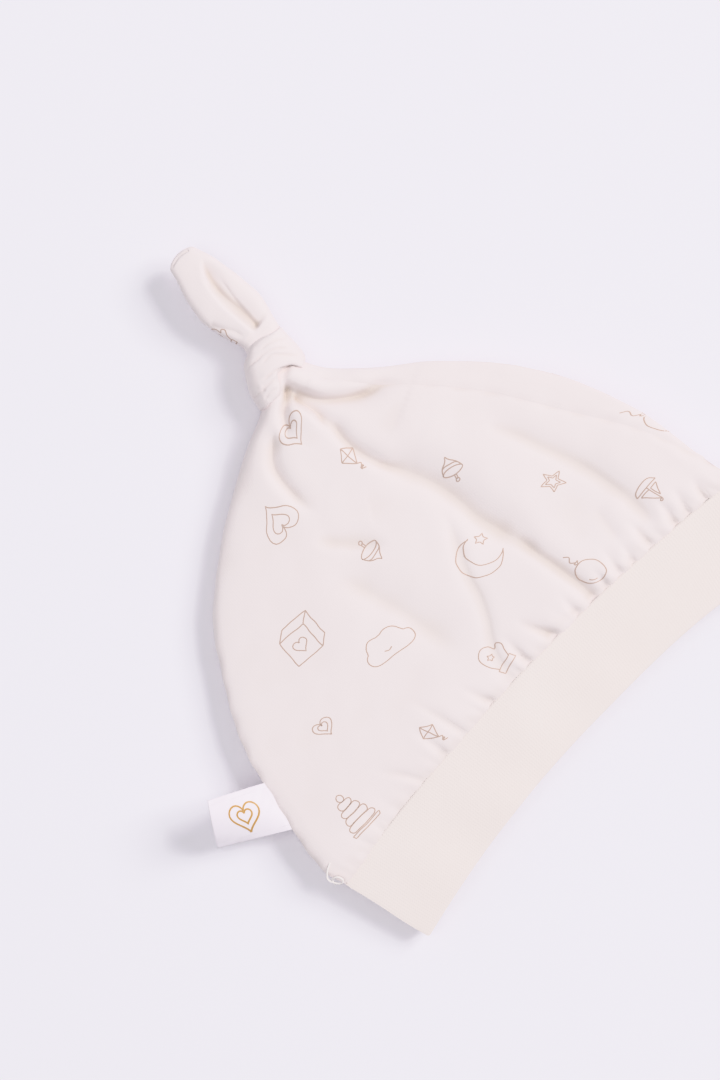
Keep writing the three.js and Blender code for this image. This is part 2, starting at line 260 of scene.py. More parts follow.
@dataclass(frozen=True)
class SectionTable:
    """Sections along a body: named columns, of which the first is the section's place."""

    columns: tuple[str, ...]
    rows: tuple[tuple[float, ...], ...]

    def at(self, name: str, position: Array) -> Array:
        """A named column as a smooth function of the section's place."""
        table = np.asarray(self.rows)
        return hermite(table[:, 0], table[:, self.columns.index(name)], position)


@dataclass
class Sheet:
    """A grid of cloth: places, outward normals and cloth coordinates, rows first, all in mm."""

    places: Array
    cloth: Array
    closed: bool = False
    normals: Array = field(init=False)

    def __post_init__(self) -> None:
        """Works the normals out from the places."""
        wrapped = self.places
        if self.closed:
            wrapped = np.concatenate([self.places[:, -2:-1], self.places, self.places[:, 1:2]], 1)
        along = np.gradient(wrapped, axis=0)
        across = np.gradient(wrapped, axis=1)
        normals = np.cross(across, along)
        if self.closed:
            normals = normals[:, 1:-1]
        self.normals = normals / np.maximum(np.linalg.norm(normals, axis=2, keepdims=True), 1e-9)

    def sides(self, v: Array) -> list[Array]:
        """Cloth coordinates of the first and the last column at heights of the cloth."""
        return [np.interp(v, self.cloth[:, 0, 1], self.cloth[:, k, 0]) for k in (0, -1)]

    def moved(self, height: Array) -> Sheet:
        """The same sheet with each place moved outwards by height."""
        return Sheet(self.places + self.normals * height[..., None], self.cloth, self.closed)

    def sample(self, values: Array, row: Array, column: Array) -> Array:
        """Values of the grid between its places.

        Args:
            values: one row of numbers for each place of the grid.
            row: fractional rows.
            column: and columns.

        Returns:
            The values there.
        """
        j = np.clip(np.floor(row).astype(int), 0, values.shape[0] - 2)
        i = np.clip(np.floor(column).astype(int), 0, values.shape[1] - 2)
        v, u = (row - j)[:, None], (column - i)[:, None]
        low = values[j, i] * (1 - u) + values[j, i + 1] * u
        high = values[j + 1, i] * (1 - u) + values[j + 1, i + 1] * u
        return low * (1 - v) + high * v


# ---- the frame ----

CUFF_MIDDLE_X = -0.5  # in hat coordinates
TAIL_TIP_Y = 158.5


def hat_origin() -> Array:
    """Finds the hat coordinates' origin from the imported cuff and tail.

    Returns:
        Its place in the row frame, in mm.
    """
    low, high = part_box("cuff")
    tail_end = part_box("knot_tail")[1]
    return np.array([(low[0] + high[0]) / 2 / MM - CUFF_MIDDLE_X, tail_end[1] / MM - TAIL_TIP_Y, 0.0])


ORIGIN = hat_origin()


def new_piece(
    name: str,
    places: Array,
    faces: Iterable[Sequence[int]],
    cloth: Array | None,
    material: bpy.types.Material,
    slot: str,
    replaces: Sequence[str] = (),
    girth: float = math.inf,
    crease: Array | None = None,
    sharp: float = 180.0,
) -> bpy.types.Object:
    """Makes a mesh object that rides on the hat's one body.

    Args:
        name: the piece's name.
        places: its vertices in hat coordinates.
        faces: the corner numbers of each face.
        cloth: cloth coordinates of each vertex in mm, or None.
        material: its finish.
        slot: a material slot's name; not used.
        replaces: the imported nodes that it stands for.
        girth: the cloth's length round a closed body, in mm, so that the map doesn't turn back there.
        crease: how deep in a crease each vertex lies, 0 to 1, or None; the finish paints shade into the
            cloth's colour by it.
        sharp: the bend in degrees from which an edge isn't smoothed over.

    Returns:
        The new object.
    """
    mesh = bpy.data.meshes.new(name)
    mesh.from_pydata(((places + ORIGIN) * MM).tolist(), [], [tuple(face) for face in faces])
    if cloth is not None:
        layer = mesh.uv_layers.new(name="Cloth")
        corners = np.empty(len(mesh.loops), np.int32)
        mesh.loops.foreach_get("vertex_index", corners)
        starts = np.empty(len(mesh.polygons), np.int32)
        mesh.polygons.foreach_get("loop_start", starts)
        at = cloth[corners]
        widest = np.repeat(np.maximum.reduceat(at[:, 0], starts), np.diff([*starts, len(corners)]))
        at[:, 0] += np.where(widest - at[:, 0] > girth / 2, girth, 0.0)
        layer.data.foreach_set("uv", (at / CLOTH_UNIT).astype(np.float32).ravel())
    if crease is not None:
        # stored for the finish, which paints shade into the creases by it
        depth = mesh.attributes.new("CreaseShade", "FLOAT", "POINT")
        depth.data.foreach_set("value", crease.astype(np.float32).ravel())
    mesh.materials.append(material)
    mesh.shade_smooth()
    if sharp < 180.0:
        mesh.set_sharp_from_angle(angle=math.radians(sharp))
    piece = bpy.data.objects.new(name, mesh)
    bpy.context.scene.collection.objects.link(piece)
    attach(piece, "root")
    if replaces:
        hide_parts(*replaces)
    log.info("%s: %d faces, %s mm", name, len(mesh.polygons), np.ptp(places, axis=0).round(1))
    return piece


def grid_faces(rows: int, columns: int, closed: bool = False, looped: bool = False) -> Array:
    """Quads between the vertices of a grid.

    Args:
        rows: vertices along the grid.
        columns: vertices across it.
        closed: whether its last column joins its first.
        looped: whether its last row joins its first.

    Returns:
        Corner numbers, a row for each quad.
    """
    tall = rows if looped else rows - 1
    wide = columns if closed else columns - 1
    j, i = np.meshgrid(np.arange(tall), np.arange(wide), indexing="ij")
    above, beside = (j + 1) % rows, (i + 1) % columns
    corners = [j * columns + i, j * columns + beside, above * columns + beside, above * columns + i]
    return np.stack([c.ravel() for c in corners], 1)


def thick_sheet(sheet: Sheet, wall: float, lining: Array | None = None) -> tuple[Array, Array, Array]:
    """Gives an open sheet a lining and a closed rim.

    Args:
        sheet: the cloth's outside.
        wall: its thickness in mm.
        lining: the places of its inside, where they don't simply follow the normals.

    Returns:
        Places, faces and cloth coordinates of the closed body.
    """
    rows, columns = sheet.places.shape[:2]
    count = rows * columns
    outside = sheet.places.reshape(-1, 3)
    inside = outside - sheet.normals.reshape(-1, 3) * wall if lining is None else lining.reshape(-1, 3)
    faces = grid_faces(rows, columns)
    edge = np.concatenate([
        np.arange(columns),
        np.arange(1, rows) * columns + columns - 1,
        (rows - 1) * columns + np.arange(columns - 2, -1, -1),
        np.arange(rows - 2, 0, -1) * columns,
    ])
    after = np.roll(edge, -1)
    rim = np.stack([after, edge, edge + count, after + count], 1)
    cloth = sheet.cloth.reshape(-1, 2)
    return (
        np.concatenate([outside, inside]),
        np.concatenate([faces, faces[:, ::-1] + count, rim]),
        np.concatenate([cloth, cloth]),
    )


def capped_faces(rows: int, columns: int) -> list[Sequence[int]]:
    """Faces of a closed body: a grid that is closed round its columns, with a cap on each end.

    Args:
        rows: vertices along the body.
        columns: vertices round it.

    Returns:
        The corner numbers of each face.
    """
    sides = grid_faces(rows, columns, closed=True).tolist()
    first = list(range(columns))[::-1]
    last = [(rows - 1) * columns + i for i in range(columns)]
    return [*sides, first, last]


# ---- finishes ----


def linear(code: str) -> tuple[float, float, float, float]:
    """Turns an sRGB colour into the linear values that a shader takes.

    Args:
        code: the hex colour.

    Returns:
        Red, green, blue and alpha.
    """
    parts = [int(code.lstrip("#")[k : k + 2], 16) / 255 for k in (0, 2, 4)]
    red, green, blue = (c / 12.92 if c <= 0.04045 else ((c + 0.055) / 1.055) ** 2.4 for c in parts)
    return red, green, blue, 1.0


def add_node(
    tree: Tree,
    kind: str,
    links: dict[str | int, Socket] | None = None,
    values: dict[str | int, object] | None = None,
    **settings: object,
) -> bpy.types.Node:
    """Adds a shader node with its links, input values and settings.

    Args:
        tree: the material's nodes.
        kind: the node's type, without its prefix.
        links: the outputs that its inputs take, by name or number.
        values: input values by name or number.
        settings: its attributes.

    Returns:
        The new node.
    """
    node = tree.nodes.new("ShaderNode" + kind)
    for name, value in settings.items():
        setattr(node, name, value)
    for name, value in (values or {}).items():
        node.inputs[name].default_value = value
    for name, output in (links or {}).items():
        tree.links.new(output, node.inputs[name])
    return node


@dataclass(frozen=True)
class Finish:
    """A surface of a real material, whose relief is bump alone.

    Attributes:
        name: the material's name.
    """

    name: str

    @cache
    def material(self) -> bpy.types.Material:
        """Makes the material, once.

        Returns:
            The material.
        """
        material = bpy.data.materials.new(self.name)
        material.use_nodes = True
        material.node_tree.nodes.clear()
        self.dress(material.node_tree)
        return material

    def dress(self, tree: Tree) -> None:
        """Adds the finish's own nodes."""
        raise NotImplementedError

    def surface(
        self,
        tree: Tree,
        height: Socket,
        relief: float,
        looks: dict[str, object],
        colour: Socket | None = None,
        strength: float = 1.0,
    ) -> None:
        """Adds the relief, the shader and the output.

        Args:
            tree: the material's nodes.
            height: the relief, about 0 to 1.
            relief: the height that 1 stands for, in mm.
            looks: the shader's own values.
            colour: the cloth's colour, where it isn't one of them.
            strength: how much of the relief shows.
        """
        values = {"Strength": strength, "Distance": relief * MM}
        bump = add_node(tree, "Bump", {"Height": height}, values)
        links = {"Normal": bump.outputs[0]}
        if colour is not None:
            links["Base Color"] = colour
        shader = add_node(tree, "BsdfPrincipled", links, looks)
        add_node(tree, "OutputMaterial", {0: shader.outputs[0]})


@dataclass(frozen=True)
class KnitFinish(Finish):
    """Knitted cotton: matt, slightly fuzzy, with columns of loops that catch the light.

    Attributes:
        light: colour of the cloth where it is cleanest.
        dark: and where the yarn lies looser.
        shade: painted shade, a darker and warmer colour mixed into the cloth deep in a crease, standing in
            for the light there that has passed through the cloth and warmed.
        wale: width of a column of loops in mm.
        course: height of a loop in mm.
        relief: height of the loops in mm.
        sheen: how much the fibre ends brighten at a grazing angle.
        roughness: the fibres' own.
    """

    light: str
    dark: str
    shade: str
    wale: float
    course: float
    relief: float
    sheen: float
    roughness: float = 0.92

    def loops(self, tree: Tree) -> Socket:
        """The relief of a plain knit: upright columns of V-shaped loops.

        Args:
            tree: the material's nodes.

        Returns:
            The height, about 0 to 1.
        """
        cloth = add_node(tree, "UVMap", uv_map="Cloth").outputs[0]
        size = (CLOTH_UNIT / self.wale, CLOTH_UNIT / self.course, 1.0)
        loops = add_node(tree, "VectorMath", {0: cloth}, {1: size}, operation="MULTIPLY")
        split = add_node(tree, "SeparateXYZ", {0: loops.outputs[0]}).outputs
        away = add_node(tree, "Math", {0: split[0]}, {1: 0.5}, operation="PINGPONG").outputs[0]
        slant = add_node(tree, "Math", {0: split[1], 1: away}, operation="ADD").outputs[0]
        turns = add_node(tree, "Math", {0: slant}, {1: 2 * math.pi}, operation="MULTIPLY").outputs[0]
        yarn = add_node(tree, "Math", {0: turns}, operation="SINE").outputs[0]
        return add_node(tree, "Math", {0: yarn, 2: away}, {1: 0.25}, operation="MULTIPLY_ADD").outputs[0]

    def dress(self, tree: Tree) -> None:
        """Blends the colours by a soft blotch, paints shade into the creases, and lays fuzz over the loops.

        Args:
            tree: the material's nodes.
        """
        place = add_node(tree, "TexCoord").outputs["Object"]
        cloudy = {"Scale": 45.0, "Detail": 5.0, "Roughness": 0.6}
        blotch = add_node(tree, "TexNoise", {"Vector": place}, cloudy).outputs[0]
        yarns = {6: linear(self.dark), 7: linear(self.light)}
        yarn = add_node(tree, "Mix", {0: blotch}, yarns, data_type="RGBA").outputs[2]
        # painted shade: how deep a vertex lies in a crease mixes the darker shade colour into the yarn's
        # colour
        crease = add_node(tree, "Attribute", attribute_name="CreaseShade").outputs["Fac"]
        painted_shade = {7: linear(self.shade)}
        colour = add_node(tree, "Mix", {0: crease, 6: yarn}, painted_shade, data_type="RGBA").outputs[2]
        fuzz = add_node(tree, "TexNoise", {"Vector": place}, {"Scale": 1400.0, "Detail": 2.0}).outputs[0]
        knit = self.loops(tree)
        height = add_node(tree, "Math", {0: fuzz, 2: knit}, {1: 0.6}, operation="MULTIPLY_ADD").outputs[0]
        looks = {
            "Roughness": self.roughness,
            "Specular IOR Level": 0.25,
            "Sheen Weight": self.sheen,
            "Sheen Roughness": 0.5,
        }
        self.surface(tree, height, self.relief, looks, colour)


# The third colour of each knit is painted shade, mixed in where the cloth lies in a crease.
# Combed cotton single jersey: the loops are only about half a millimetre wide, so the crown looks
# smooth and matt, with a faint grain. They are drawn a little wider than real, to show at all.
JERSEY = KnitFinish("combed cotton jersey", "#f2eae9", "#ede4e3", "#cfc3ba", 0.62, 0.55, 0.015, 0.25)

# The band's cotton rib is coarser and a shade creamier, and its columns of loops can be seen.
RIB = KnitFinish("cotton rib knit", "#f3ebe7", "#ece3df", "#cfc3ba", 0.85, 0.7, 0.06, 0.25)

# Water-based screen print: a thin taupe film that keeps the cloth's own grain.
INK = KnitFinish("taupe screen print on jersey", "#cdb8ad", "#c2aca0", "#b39f90", 0.62, 0.55, 0.015, 0.1)


@dataclass(frozen=True)
class SatinFinish(Finish):
    """Polyester threads: long floating ones give a woven ribbon a soft gleam along its length.

    Attributes:
        colour: the threads' colour.
        thread: their spacing in mm.
        relief: height of the weave in mm.
        selvage: how far from the middle the coarser woven edges begin, in mm.
    """

    colour: str
    thread: float
    relief: float
    selvage: float = 1000.0

    def dress(self, tree: Tree) -> None:
        """Lays a fine slanting weave over the ribbon, and one three times as coarse on its edges.

        Args:
            tree: the material's nodes.
        """
        cloth = add_node(tree, "UVMap", uv_map="Cloth").outputs[0]
        weave, twill = (
            add_node(
                tree,
                "TexWave",
                {"Vector": cloth},
                {"Scale": CLOTH_UNIT / spacing / 20, "Distortion": 0.4, "Detail": 1.0},
                bands_direction="DIAGONAL",
            ).outputs[1]
            for spacing in (self.thread, 3 * self.thread)
        )
        across = add_node(tree, "SeparateXYZ", {0: cloth}).outputs[0]
        away = add_node(tree, "Math", {0: across}, operation="ABSOLUTE").outputs[0]
        limit = {1: self.selvage / CLOTH_UNIT}
        edge = add_node(tree, "Math", {0: away}, limit, operation="GREATER_THAN").outputs[0]
        woven = add_node(tree, "Math", {0: edge, 1: twill}, operation="MULTIPLY").outputs[0]
        height = add_node(tree, "Math", {0: woven, 2: weave}, {1: 9.0}, operation="MULTIPLY_ADD").outputs[0]
        looks = {
            "Base Color": linear(self.colour),
            "Roughness": 0.42,
            "Specular IOR Level": 0.5,
            "Sheen Weight": 0.2,
        }
        self.surface(tree, height, self.relief, looks)


# Woven polyester satin ribbon: the whitest cloth of the hat, smooth, with a gleam.
SATIN = SatinFinish("woven polyester satin", "#f5eff4", 0.3, 0.05, 5.7)

# Ochre polyester thread of the label's woven picture: a dull golden line with the ribbon's gleam.
OCHRE = SatinFinish("ochre woven thread", "#c99f63", 0.3, 0.08)

# Spun polyester sewing thread, of the overlock seam: a white fluffy line.
THREAD = SatinFinish("spun polyester thread", "#f4efec", 0.3, 0.05)


@dataclass(frozen=True)
class PaperFinish(Finish):
    """Paper, pressed and left uncoated, which takes soft shadows and gives no reflection.

    Attributes:
        colour: the paper's colour.
    """

    colour: str

    def dress(self, tree: Tree) -> None:
        """Gives it a fine grain.

        Args:
            tree: the material's nodes.
        """
        place = add_node(tree, "TexCoord").outputs["Object"]
        grain = add_node(tree, "TexNoise", {"Vector": place}, {"Scale": 900.0}).outputs[0]
        looks = {"Base Color": linear(self.colour), "Roughness": 0.95, "Specular IOR Level": 0.1}
        self.surface(tree, grain, 0.05, looks, strength=0.2)


# Matt backdrop paper under the hat: pale and faintly violet, with no gloss.
PAPER = PaperFinish("matt backdrop paper", "#f7f5fa")


# ---- the hat's form ----

ANGLE_STEP = 0.02  # steps round the tube, in radians, and along it, in mm, that its slopes come from
LENGTH_STEP = 0.3


@dataclass(frozen=True)
class HatForm:
    """The tube that the cuff and the crown are cut from.

    Attributes:
        sections: half-widths, heights, lead of the middle and of the right half, the right seam's
            angle, and how flat the crown lies towards its folded sides (an ellipse is 1).
        right_lift: how much higher its fold lies on the right than on the left.
        under_flat: sine of the angle at which the underside leaves the surface.
        under_roundness: how suddenly it does so.
    """

    sections: SectionTable = SectionTable(
        ("t", "left", "right", "floor", "edge", "top", "arch", "lean", "seam", "flat"),
        (
            (-27.3, 73.8, 73.3, 0.0, 7.8, 9.4, 8.3, 6.0, 0, 1.0),
            (-20.0, 75.5, 75.2, 0.0, 8.4, 10.0, 7.6, 4.4, 0, 1.0),
            (-10.0, 77.3, 77.8, 0.0, 9.3, 10.8, 6.3, 2.2, 0, 1.0),
            (0.0, 79.5, 79.2, 0.0, 10.0, 11.7, 5.2, 0.0, 4, 1.2),
            (6.0, 80.8, 78.4, 0.0, 10.2, 12.2, 4.6, 0.0, 6, 1.5),
            (17.0, 79.9, 76.4, 0.0, 10.0, 12.6, 3.6, 0.0, 11, 1.5),
            (32.0, 76.1, 74.3, 0.0, 9.8, 12.8, 2.0, 0.0, 22, 1.5),
            (45.0, 72.6, 70.4, 0.0, 9.7, 12.9, 1.0, 0.0, 29, 1.5),
            (57.0, 67.0, 65.3, 0.0, 8.8, 12.9, 0.0, 0.0, 33, 1.4),
            (68.0, 59.9, 58.8, 0.0, 8.0, 12.9, 0.0, 0.0, 35, 1.25),
            (78.0, 52.0, 50.8, 0.1, 7.4, 12.8, 0.0, 0.0, 37, 1.1),
            (86.0, 43.0, 42.7, 0.3, 6.9, 12.7, 0.0, 0.0, 38, 1.0),
            (95.6, 28.9, 31.2, 0.8, 6.1, 12.7, 0.0, 0.0, 38, 0.9),
            (104.0, 13.2, 22.4, 1.2, 5.0, 12.9, 0.0, 0.0, 38, 0.8),
            (109.5, -1.4, 18.6, 1.6, 5.0, 13.4, 0.0, 0.0, 38, 0.8),
            (115.5, -5.0, 15.0, 3.0, 6.6, 12.6, 0.0, 0.0, 38, 0.5),
        ),
    )
    right_lift: float = 2.0
    under_flat: float = 0.62
    under_roundness: float = 1.6

    def place(self, t: Array, angle: Array, inset: Array | float = 0.0) -> Array:
        """Places on the tube's surface.

        Args:
            t: distances from the cuff seam towards the knot.
            angle: angles round the tube, from the +X side over the top.
            inset: how far inside the outer surface they are.

        Returns:
            The places, with x, y and z last.
        """
        left, right = self.sections.at("left", t) - inset, self.sections.at("right", t) - inset
        floor = np.maximum(0.0, self.sections.at("floor", t)) + inset
        sine = np.abs(np.sin(angle))
        rightwards = np.maximum(0.0, np.cos(angle))
        edge = self.sections.at("edge", t) + self.right_lift * rightwards**2
        lead = self.sections.at("arch", t) + self.sections.at("lean", t) * rightwards**2
        rise = (self.sections.at("top", t) - inset - edge) * sine ** self.sections.at("flat", t)
        lift = (1 - np.minimum(1.0, sine / self.under_flat)) ** self.under_roundness
        drop = (edge - floor) * (1 - lift)
        return np.stack([
            (right - left) / 2 + (right + left) / 2 * np.cos(angle),
            t + lead * sine**2,
            np.where(np.sin(angle) > 0, edge + rise, edge - drop),
        ], -1)

    def outward(self, t: Array, angle: Array) -> Array:
        """Unit normals of the tube, from the difference of close places.

        Args:
            t: distances from the cuff seam towards the knot.
            angle: angles round the tube, from the +X side over the top.

        Returns:
            The normals, with x, y and z last.
        """
        round_it = self.place(t, angle - ANGLE_STEP) - self.place(t, angle + ANGLE_STEP)
        along_it = self.place(t + LENGTH_STEP, angle) - self.place(t - LENGTH_STEP, angle)
        normals = np.cross(round_it, along_it)
        return normals / np.linalg.norm(normals, axis=-1, keepdims=True)

    def even_sheet(self, rows: Array, start: Array, end: Array, columns: int) -> tuple[Sheet, Array]:
        """A panel of the tube with evenly spaced columns.

        Args:
            rows: the rows' distances from the cuff seam.
            start: the angle at which each row begins.
            end: and ends.
            columns: vertices across it.

        Returns:
            The sheet, and the angle of each of its places. Its cloth coordinates count from the
            middle of the panel and from the cuff seam.
        """
        share = np.linspace(0.0, 1.0, 8 * columns)
        fine = start[:, None] + (end - start)[:, None] * share
        run = np.linalg.norm(np.diff(self.place(rows[:, None] + 0 * fine, fine), axis=1), axis=2)
        length = np.concatenate([np.zeros((len(rows), 1)), np.cumsum(run, axis=1)], 1)
        goal = np.linspace(0.0, 1.0, columns)
        angle = np.stack([
            np.interp(goal * total[-1], total, angles) for total, angles in zip(length, fine)
        ])
        t = rows[:, None] + 0 * angle
        across = (goal - 0.5) * length[:, -1:]
        return Sheet(self.place(t, angle), np.stack([across, t], -1)), angle


FORM = HatForm()


@dataclass(frozen=True)
class Gathers:
    """Small puckers where the crown is gathered into the cuff.

    Attributes:
        count: how many there are.
        depth: the shallowest and deepest, in mm.
        reach: the shortest and longest.
        half_width: the narrowest and widest at the seam.
        seed: picks their places.
    """

    count: int
    depth: Pair
    reach: Pair
    half_width: Pair
    seed: int

    def height(self, across: Array, t: Array, half_panel: float) -> Array:
        """How far the puckers move the cloth outwards.

        Args:
            across: places along the seam from its middle, in mm.
            t: distances from the seam.
            half_panel: half the panel's width at the seam.

        Returns:
            The heights.
        """
        draw = np.random.default_rng(self.seed)
        spans = (self.depth, self.reach, self.half_width)
        total = np.zeros(np.shape(t))
        above = np.maximum(t, 0.0)
        for k in range(self.count):
            spot = ((k + draw.uniform(0.15, 0.85)) / self.count * 2 - 1) * half_panel
            depth, reach, width = (draw.uniform(*span) for span in spans)
            slant = draw.normal(0.0, 0.12)
            spread = width * (1 + 0.09 * above)
            valley = np.exp(-(np.abs((across - spot - slant * above) / spread) ** 1.6))
            total -= depth * valley * np.exp(-((above / reach) ** 1.5))
        return total


class Panel(Enum):
    """The crown's two panels of jersey."""

    FRONT = "crown_front"
    BACK = "crown_back"


# Lines run from the knot to the cuff, so their left is the hat's +X side.
FRONT_FOLDS = (
    # under the right top lobe
    Fold(2.4, (1.8, 3.0), (2.0, 0.3), 9.0, (0.04, 0.36), (
        (9.4, 110.5), (10.3, 108.6), (11.1, 106.6), (12.4, 103.4), (14.1, 100.2), (17.1, 97.0),
        (21.0, 94.1), (25.4, 91.8), (29.7, 90.4), (34.0, 86.0),
    )),
    # the short deep crease down from the knot
    Fold(2.2, (2.2, 1.3), (0.9, 1.2), 6.0, (0.05, 0.35), (
        (9.7, 105.5), (10.0, 103.4), (10.5, 101.1), (10.9, 98.1), (10.3, 94.9), (9.8, 92.4),
    )),
    # the long valley that carries on from it
    Fold(1.7, (3.4, 1.6), (1.4, 0.3), 8.0, (0.2, 0.3), (
        (11.0, 97.5), (11.5, 94.3), (11.3, 91.6), (10.8, 88.7), (10.6, 85.8), (10.9, 82.3), (11.7, 78.7),
        (13.1, 74.5), (15.1, 70.9), (16.9, 67.2),
    )),
    Fold(2.6, (6.5, 4.0), (2, 0), 20.0, (0.25, 0.25), (
        (11.7, 78.7), (13.1, 74.5), (16.2, 68.7), (18.7, 62.3), (20.0, 56.9), (20.7, 51.1),
        (20.8, 45.7), (22.1, 40.4), (23.4, 35.1), (24.7, 29.7), (25.2, 24.7),
    )),
    Fold(1.8, (3.2, 2.0), (1, 0.15), 10.0, (0.25, 0.05), (
        (23.4, 35.1), (24.7, 29.7), (25.2, 24.7), (26.1, 19.0), (26.9, 13.2), (27.3, 8.0), (27.6, 3.9),
    )),
    # under the left lobe
    Fold(2.0, (2.2, 1.6), (0.6, 0.7), 7.0, (0.08, 0.5), (
        (9.6, 109.5), (8.6, 107.7), (7.5, 106.6), (5.4, 105.5), (3.3, 103.4), (1.6, 101.0),
        (0.1, 98.8), (-1.5, 96.8),
    )),
    # the curved crease on the left
    Fold(1.5, (3.2, 1.8), (0.7, 0.7), 7.0, (0.2, 0.35), (
        (0.5, 103.0), (-2.0, 102.2), (-4.7, 100.6), (-7.2, 98.3), (-9.1, 95.4), (-10.1, 91.4),
        (-10.4, 87.9), (-10.4, 84.1), (-9.6, 80.6), (-7.9, 77.5),
    )),
    # faint ones in the middle
    Fold(1.2, (4.5, 1.5), (0.75, 0), 9.0, (0.3, 0.3), (
        (-16.2, 74.3), (-15.2, 72.4), (-12.2, 68.7), (-8.7, 64.5), (-4.5, 60.1), (-0.6, 58.2),
    )),
    Fold(0.8, (2.0, 2.6), (0.3, 0.45), 6.0, (0.2, 0.05), (
        (14.9, 55.4), (14.5, 50.6), (13.1, 46.9), (10.8, 42.5), (8.4, 38.2), (6.6, 33.7),
        (5.2, 28.9), (1.7, 22.4), (-1.0, 18.6), (-3.6, 13.6), (-4.7, 8.9), (-3.9, 4.1),
    )),
    # broad, soft ones on either side
    Fold(1.1, (4.0, 2.5), (1, 0), 14.0, (0.2, 0.1), (
        (39.9, 63.0), (42.5, 58.9), (44.3, 55.1), (46.0, 51.3), (47.6, 46.2), (49.3, 41.3),
        (51.0, 36.4), (52.3, 31.0), (53.2, 26.0), (54.0, 19.6), (54.2, 12.6), (53.9, 5.2),
    )),
    Fold(0.32, (2.5, 1.5), (0.6, 0), 8.0, (0.3, 0.3), (
        (46.2, 24.0), (45.0, 19.5), (44.3, 15.1), (43.4, 10.3),
    )),
    Fold(1.7, (7.0, 4.5), (0.6, 0), 14.0, (0.3, 0.3), (
        (-19.2, 66.2), (-18.2, 61.8), (-16.7, 56.8), (-15.2, 51.5), (-13.6, 45.4), (-12.3, 39.6),
        (-11.4, 33.3), (-10.2, 27.0), (-8.2, 20.4),
    )),
)

# The small gathers of each panel, and the front's longer puckers that run up from the band.
GATHERS = {
    Panel.FRONT: Gathers(40, (0.3, 1.0), (2.2, 6.5), (0.8, 1.6), seed=4),
    Panel.BACK: Gathers(30, (0.2, 0.7), (4.0, 9.0), (0.9, 1.7), seed=8),
}
LONG_PUCKERS = tuple(Fold(1.25, (1.7, 1.2), (0.5, 0.3), 4.0, (0.6, 0.0), line) for line in (
    ((70.9, 9.6), (70.0, 5.8), (69.4, 2.4), (69.0, -1.0)),
    ((65.1, 12.3), (64.4, 8.4), (63.2, 3.8), (62.6, -1.0)),
    ((59.4, 14.6), (59.3, 9.0), (58.3, 4.0), (57.8, -1.0)),
    ((48.9, 15.6), (49.4, 10.4), (48.8, 4.8), (48.6, -1.0)),
    ((33.0, 13.0), (32.6, 8.4), (31.6, 3.8), (31.2, -1.0)),
    ((21.8, 14.2), (21.0, 9.2), (20.8, 4.2), (20.6, -1.0)),
    ((43.7, 12.0), (43.1, 7.7), (42.2, 3.6), (41.9, -1.0)),
    ((38.9, 14.8), (38.2, 8.8), (36.5, 4.0), (35.6, -1.0)),
    ((7.4, 18.7), (8.4, 14.3), (10.3, 9.7), (12.0, 6.0), (12.2, 2.8), (12.3, -1.0)),
    ((2.0, 18.8), (1.6, 13.1), (1.2, 7.4), (1.2, 4.1), (1.3, -1.0)),
    ((-17.6, 17.0), (-16.3, 12.9), (-14.9, 8.9), (-13.7, 5.2), (-13.0, -1.0)),
    ((-29.7, 24.6), (-28.7, 20.2), (-27.4, 15.0), (-26.5, 10.6), (-25.4, 6.3), (-25.0, -1.0)),
    ((-34.9, 19.5), (-34.4, 14.7), (-33.8, 10.0), (-33.3, 5.1), (-33.2, -1.0)),
    ((-51.4, 17.6), (-48.8, 13.7), (-46.1, 9.9), (-43.0, 3.8), (-42.0, -1.0)),
))


